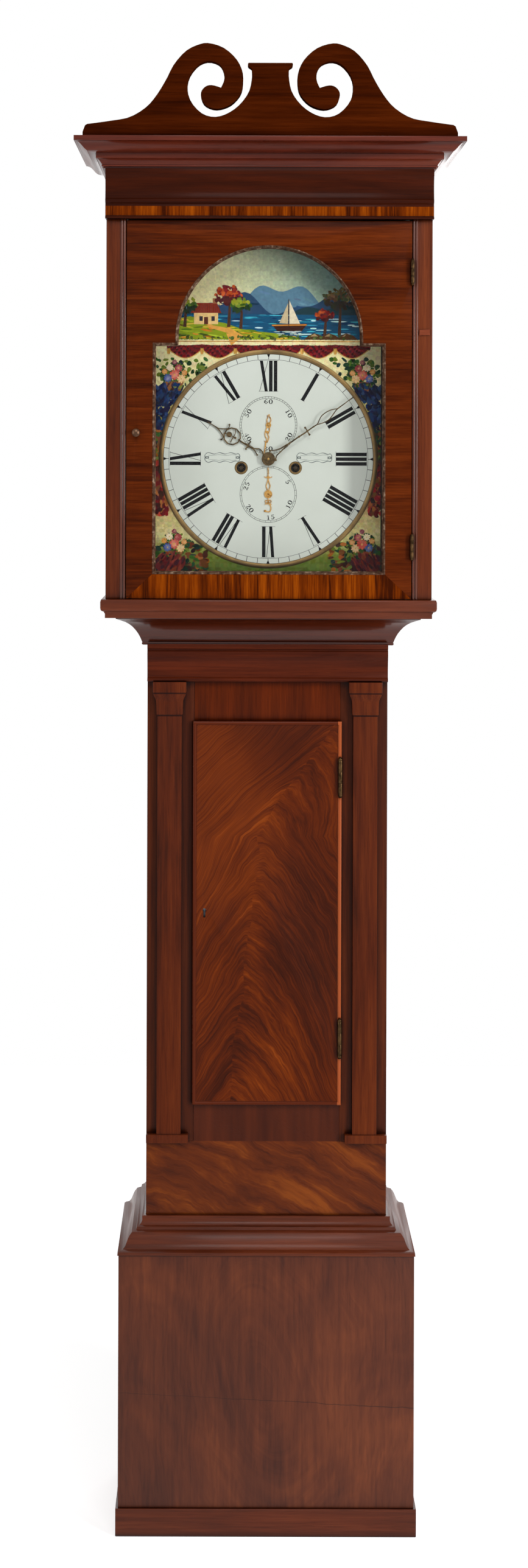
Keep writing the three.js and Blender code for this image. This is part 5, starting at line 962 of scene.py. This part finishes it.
def build_corners(material):
    random.seed(23)
    paint = Paint(FACE - 0.02, 0.0012)
    high = DIAL_HALF

    def free(x, z, gap):
        return math.hypot(x, z) > DISC + gap and abs(x) < DIAL_HALF - 7 - gap * 0.4

    reach = int(DIAL_HALF / 4)
    for i in range(-reach, reach + 1):
        for j in range(-reach, reach + 1):
            x, z = i * 4.0, j * 4.0
            if not free(x, z, -5):
                continue
            share = (z + DIAL_HALF) / (2 * DIAL_HALF)
            k = max(n for n, (stop, _) in enumerate(GROUND) if share >= stop)
            (at, shade), (next_at, beyond) = GROUND[k:k + 2]
            ground = blend_colour(shade, beyond, (share - at) / (next_at - at))
            paint.level(i, j)
            paint.blot(x, z, 3.6, 3.4, jitter(ground, 12), rough=0.15)
    paint.coat()

    def scatter(count, area, gap, wide, tall, tones, lean):
        (x0, x1), (z0, z1) = area
        for _ in range(count):
            x, z = uniform(x0, x1), uniform(z0, z1)
            if free(x, z, gap):
                width, height = uniform(*wide), uniform(*tall)
                paint.blot(x, z, width, height, jitter(choice(tones), 14), uniform(-lean, lean), 0.2)

    reds = [(124, 16, 20), (92, 10, 16), (54, 6, 10), (164, 46, 34)]
    leaves = [(20, 56, 26), (46, 84, 26), (92, 112, 30), (16, 40, 34)]
    blues = [(12, 22, 60), (26, 54, 96), (8, 12, 34)]
    browns = [(60, 26, 12), (104, 54, 22), (36, 16, 12), (150, 88, 32)]
    for side in (-1, 1):
        edge = sorted((side * 150, side * 172))
        wide_edge = sorted((side * 92, side * 170))
        scatter(150, (edge, (44, 108)), 4, (2, 5), (2, 5), blues, 1.5)
        scatter(120, (edge, (-4, 50)), 3, (2, 4), (2, 5), leaves + browns, 1.5)
        scatter(150, (edge, (-84, -4)), 3, (2, 4), (3, 6), reds + browns, 0.5)
        scatter(160, (wide_edge, (-172, -126)), 5, (3, 7), (2, 5), leaves + browns, 0.8)
        scatter(60, (wide_edge, (116, 150)), 5, (2, 5), (2, 4), leaves, 1.5)
    paint.coat()

    # Crimson drapery in swags, gathered at the middle and towards the corners, with a gold fringe
    def sag(t):
        return 5 + 13 * math.sin(math.pi * t)

    for swag in range(-3, 3):
        for k in range(16):
            x = swag * 50 + 50 * k / 15
            for row in range(5):
                z = high - 8 - sag(k / 15) * (row + 0.5) / 5
                if free(x, z, 2.5):
                    paint.blot(x, z, 2.9, 2.6, jitter(reds[(k + row * 2) % 3], 12), rough=0.15)
    paint.coat()
    for swag in range(-3, 3):
        fringe = [(swag * 50 + 50 * k / 16, high - 9 - sag(k / 16)) for k in range(17)]
        fringe = [p for p in fringe if free(*p, 2)]
        if len(fringe) > 2:
            paint.band(fringe, 1.3, (206, 160, 76))
        for k in range(5):
            x, z = swag * 50 + (k - 2) * 0.9, high - 16 - k % 2
            paint.blot(x, z, 0.8, 5, jitter((198, 150, 70), 20), sides=6)
    paint.coat()

    # A basket of flowers over blue drapery in each upper corner, and over russet drapery in each lower one
    baskets = [(side, side * 141, 112 if up > 0 else -142) for side, up in QUARTERS]
    for side, cx, cz in baskets:
        cloth, lean = blues if cz > 0 else [(96, 20, 22), (56, 12, 22), (128, 48, 26)], side * 0.5
        for _ in range(170):
            x, z = in_oval(cx + side * 6, cz - 14, 21, 15, 0.5)
            if free(x, z, 6):
                paint.blot(x, z, uniform(1.4, 3), uniform(3, 6), jitter(choice(cloth), 12), lean, 0.2)
        for _ in range(90):
            x, z = in_oval(cx, cz + 12, 22, 20, 0.6)
            if free(x, z, 5):
                paint.blot(x, z, uniform(2, 4.5), uniform(1.2, 2.2), jitter(choice(leaves), 16),
                           uniform(0, 3), 0.25)
        basket = [(cx - 9, cz - 10), (cx + 9, cz - 10), (cx + 14, cz + 4), (cx - 14, cz + 4)]
        paint.shape(basket, (150, 96, 42))
        for k in range(6):
            half, z = 9.6 + k * 0.8, cz - 8.5 + 2.4 * k
            paint.band([(cx - half, z), (cx + half, z)], 0.9, jitter((94, 54, 26), 14))
    paint.coat()
    for side, cx, cz in baskets:
        for dx, dz, size, tone in (
            (0, 14, 8, (196, 70, 56)), (-10, 8, 6.5, (222, 180, 120)), (10, 9, 6.5, (44, 66, 140)),
            (-6, 24, 6, (150, 34, 46)), (7, 25, 5.5, (232, 216, 176)), (15, 19, 4.5, (206, 132, 50)),
            (-15, 17, 4.5, (206, 132, 60)), (0, 33, 4, (120, 40, 60)),
        ):
            x, z = cx + side * dx, cz + dz
            if not free(x, z, size + 1):
                continue
            for ring, count in ((1.0, 9), (0.62, 7), (0.3, 5)):
                for k in range(count):
                    a, r = TURN * k / count + ring * 2, size * 0.62 * ring
                    shade = blend_colour(tone, (240, 224, 196), 0.4 * (1 - ring) + uniform(0, 0.2))
                    paint.blot(x + r * math.cos(a), z + r * math.sin(a), size * 0.42, size * 0.26,
                               jitter(shade, 10), a, 0.12)
            paint.blot(x, z, size * 0.16, size * 0.16, (216, 176, 76))
    paint.make("corner_pictures", material, coloured=True)

    line = Paint(FACE - 0.55)
    line.band([(-171.4, 4.4 - high), (-171.4, high - 5.4)], 3.2)
    line.band([(171.8, 4.4 - high), (171.8, high - 5.4)], 1.5)
    line.band([(-172.6, 5.4 - high), (172.6, 5.4 - high)], 2.2)
    for side in (-1, 1):
        line.band([(side * 172.6, high - 6), (side * 146, high - 6)], 1.3)
    line.make("dial_border", cream)
    gold = Paint(FACE - 0.52)
    gold.band([(-146, high - 1.6), (146, high - 1.6)], 1.6)
    gold.make("arch_border", gilt)


build_dial()
build_arch_picture()
build_corners(bpy.data.materials["picture_paint"])


# Hood: dial mask, glazing bead, crossbanding

GLASS_GAP = 0.3
door_low, door_high = (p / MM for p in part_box("hood_door_frame"))
glass_low, glass_high = (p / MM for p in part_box("hood_glass"))
WINDOW_HALF = glass_high.x + GLASS_GAP
ARCH_WINDOW = WINDOW_HALF - 33.3
SILL = glass_low.z - GLASS_GAP
SPRING = glass_high.z + GLASS_GAP - ARCH_WINDOW
SHOULDER = SPRING - 6
DOOR_FRONT = door_low.y
BAND_THICK = 0.14


def window_path(grow):
    """The window's outline, and at each point the direction into it."""
    half, arch = WINDOW_HALF + grow, ARCH_WINDOW + grow
    low, shoulder = SILL - grow, SHOULDER + grow
    points = [(-half, low), (half, low), (half, shoulder), (arch, shoulder)]
    inward = [(1, 1), (-1, 1), (-1, -1), (-1, -1)]
    for i in range(41):
        a = math.pi * i / 40
        points.append((arch * math.cos(a), SPRING + arch * math.sin(a)))
        inward.append((-math.cos(a), -math.sin(a)))
    points += [(-arch, shoulder), (-half, shoulder)]
    inward += [(1, -1), (1, -1)]
    return points, inward


def build_hood():
    # Mask round the dial, behind the door, near black as painted shade
    half, low, high = WINDOW_HALF + 36, SILL - 24, SPRING + ARCH_WINDOW + 22
    outer = [(-half, low), (half, low), (half, high), (-half, high)]
    hole, _ = window_path(-0.6)
    for i in (1, 2):
        hole[i] = (hole[i][0] - 2.8, hole[i][1])
    plate("dial_mask", [outer, hole], FACE - 3.4, 2.5, mask_shade_black, "hood")

    path, inward = window_path(0.3)
    section = [
        (0.0, 7.6), (0.0, 0.2), (0.7, -0.5), (1.7, -0.5), (2.8, 0.6), (3.4, 3.0), (4.6, 5.2), (4.8, 7.6),
    ]
    verts, faces = closed_sweep(path, inward, section, DOOR_FRONT)
    mesh_piece("glazing_bead", verts, faces, putty, "hood_door")

    # Amber bands along the foot of the door and of the frieze
    low, half = door_low.z + 0.2, door_high.x - 0.2
    rail = [(-half, low), (half, low), (WINDOW_HALF + 0.5, SILL - 0.4), (-WINDOW_HALF - 0.5, SILL - 0.4)]
    plate("door_rail_band", [rail], DOOR_FRONT - 0.15, BAND_THICK, band, "hood_door")
    frieze_low, frieze_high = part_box("hood_frieze")
    low, half = frieze_low.z / MM + 4.6, frieze_high.x / MM - 0.2
    strip = [(-half, low), (half, low), (half, low + 14), (-half, low + 14)]
    plate("frieze_band", [strip], DOOR_FRONT - 4.15, BAND_THICK, band, "hood")

    # An old repair: a small inlaid piece of lighter wood
    stile_low, stile_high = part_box("hood_stile_right")
    x0, x1, z0 = stile_high.x / MM - 19.5, stile_high.x / MM - 3.5, 1786.0
    outline = [(x0, z0), (x1, z0 + 0.6), (x1 - 0.5, z0 + 9.2), (x0 + 0.4, z0 + 8.4)]
    plate("stile_patch", [outline], stile_low.y / MM - 0.12, 0.1, patch_wood, "hood")


build_hood()


# Floor and backdrop

def build_stage():
    s = Shader("floor_white")
    spots = s.ramp(s.noise(3, 2), (0.3, (0.9, 0.9, 0.9, 1)), (0.7, (0.93, 0.93, 0.93, 1)))
    s.link("Base Color", spots).link("Roughness", 0.9).link("Specular IOR Level", 0.0)
    s.link("Emission Color", (1, 1, 1, 1)).link("Emission Strength", s.rays("Camera", "Glossy") * 0.7)
    corners = [(-9000, -5000, 0), (9000, -5000, 0), (9000, 2500, 0), (-9000, 2500, 0)]
    add_mesh("floor", corners, [(0, 1, 2, 3)], s.material)

    # The backdrop is bright to look at and dim as a light
    scene.world = bpy.data.worlds.new("studio")
    scene.world.use_nodes = True
    s = Shader(scene.world)
    dim, bright = (s.node("Background", {"Color": (1, 1, 1, 1), "Strength": power}) for power in (0.1, 1.0))
    s.swap(s.rays("Camera", "Transmission", "Glossy"), dim, bright, "World Output")


build_stage()
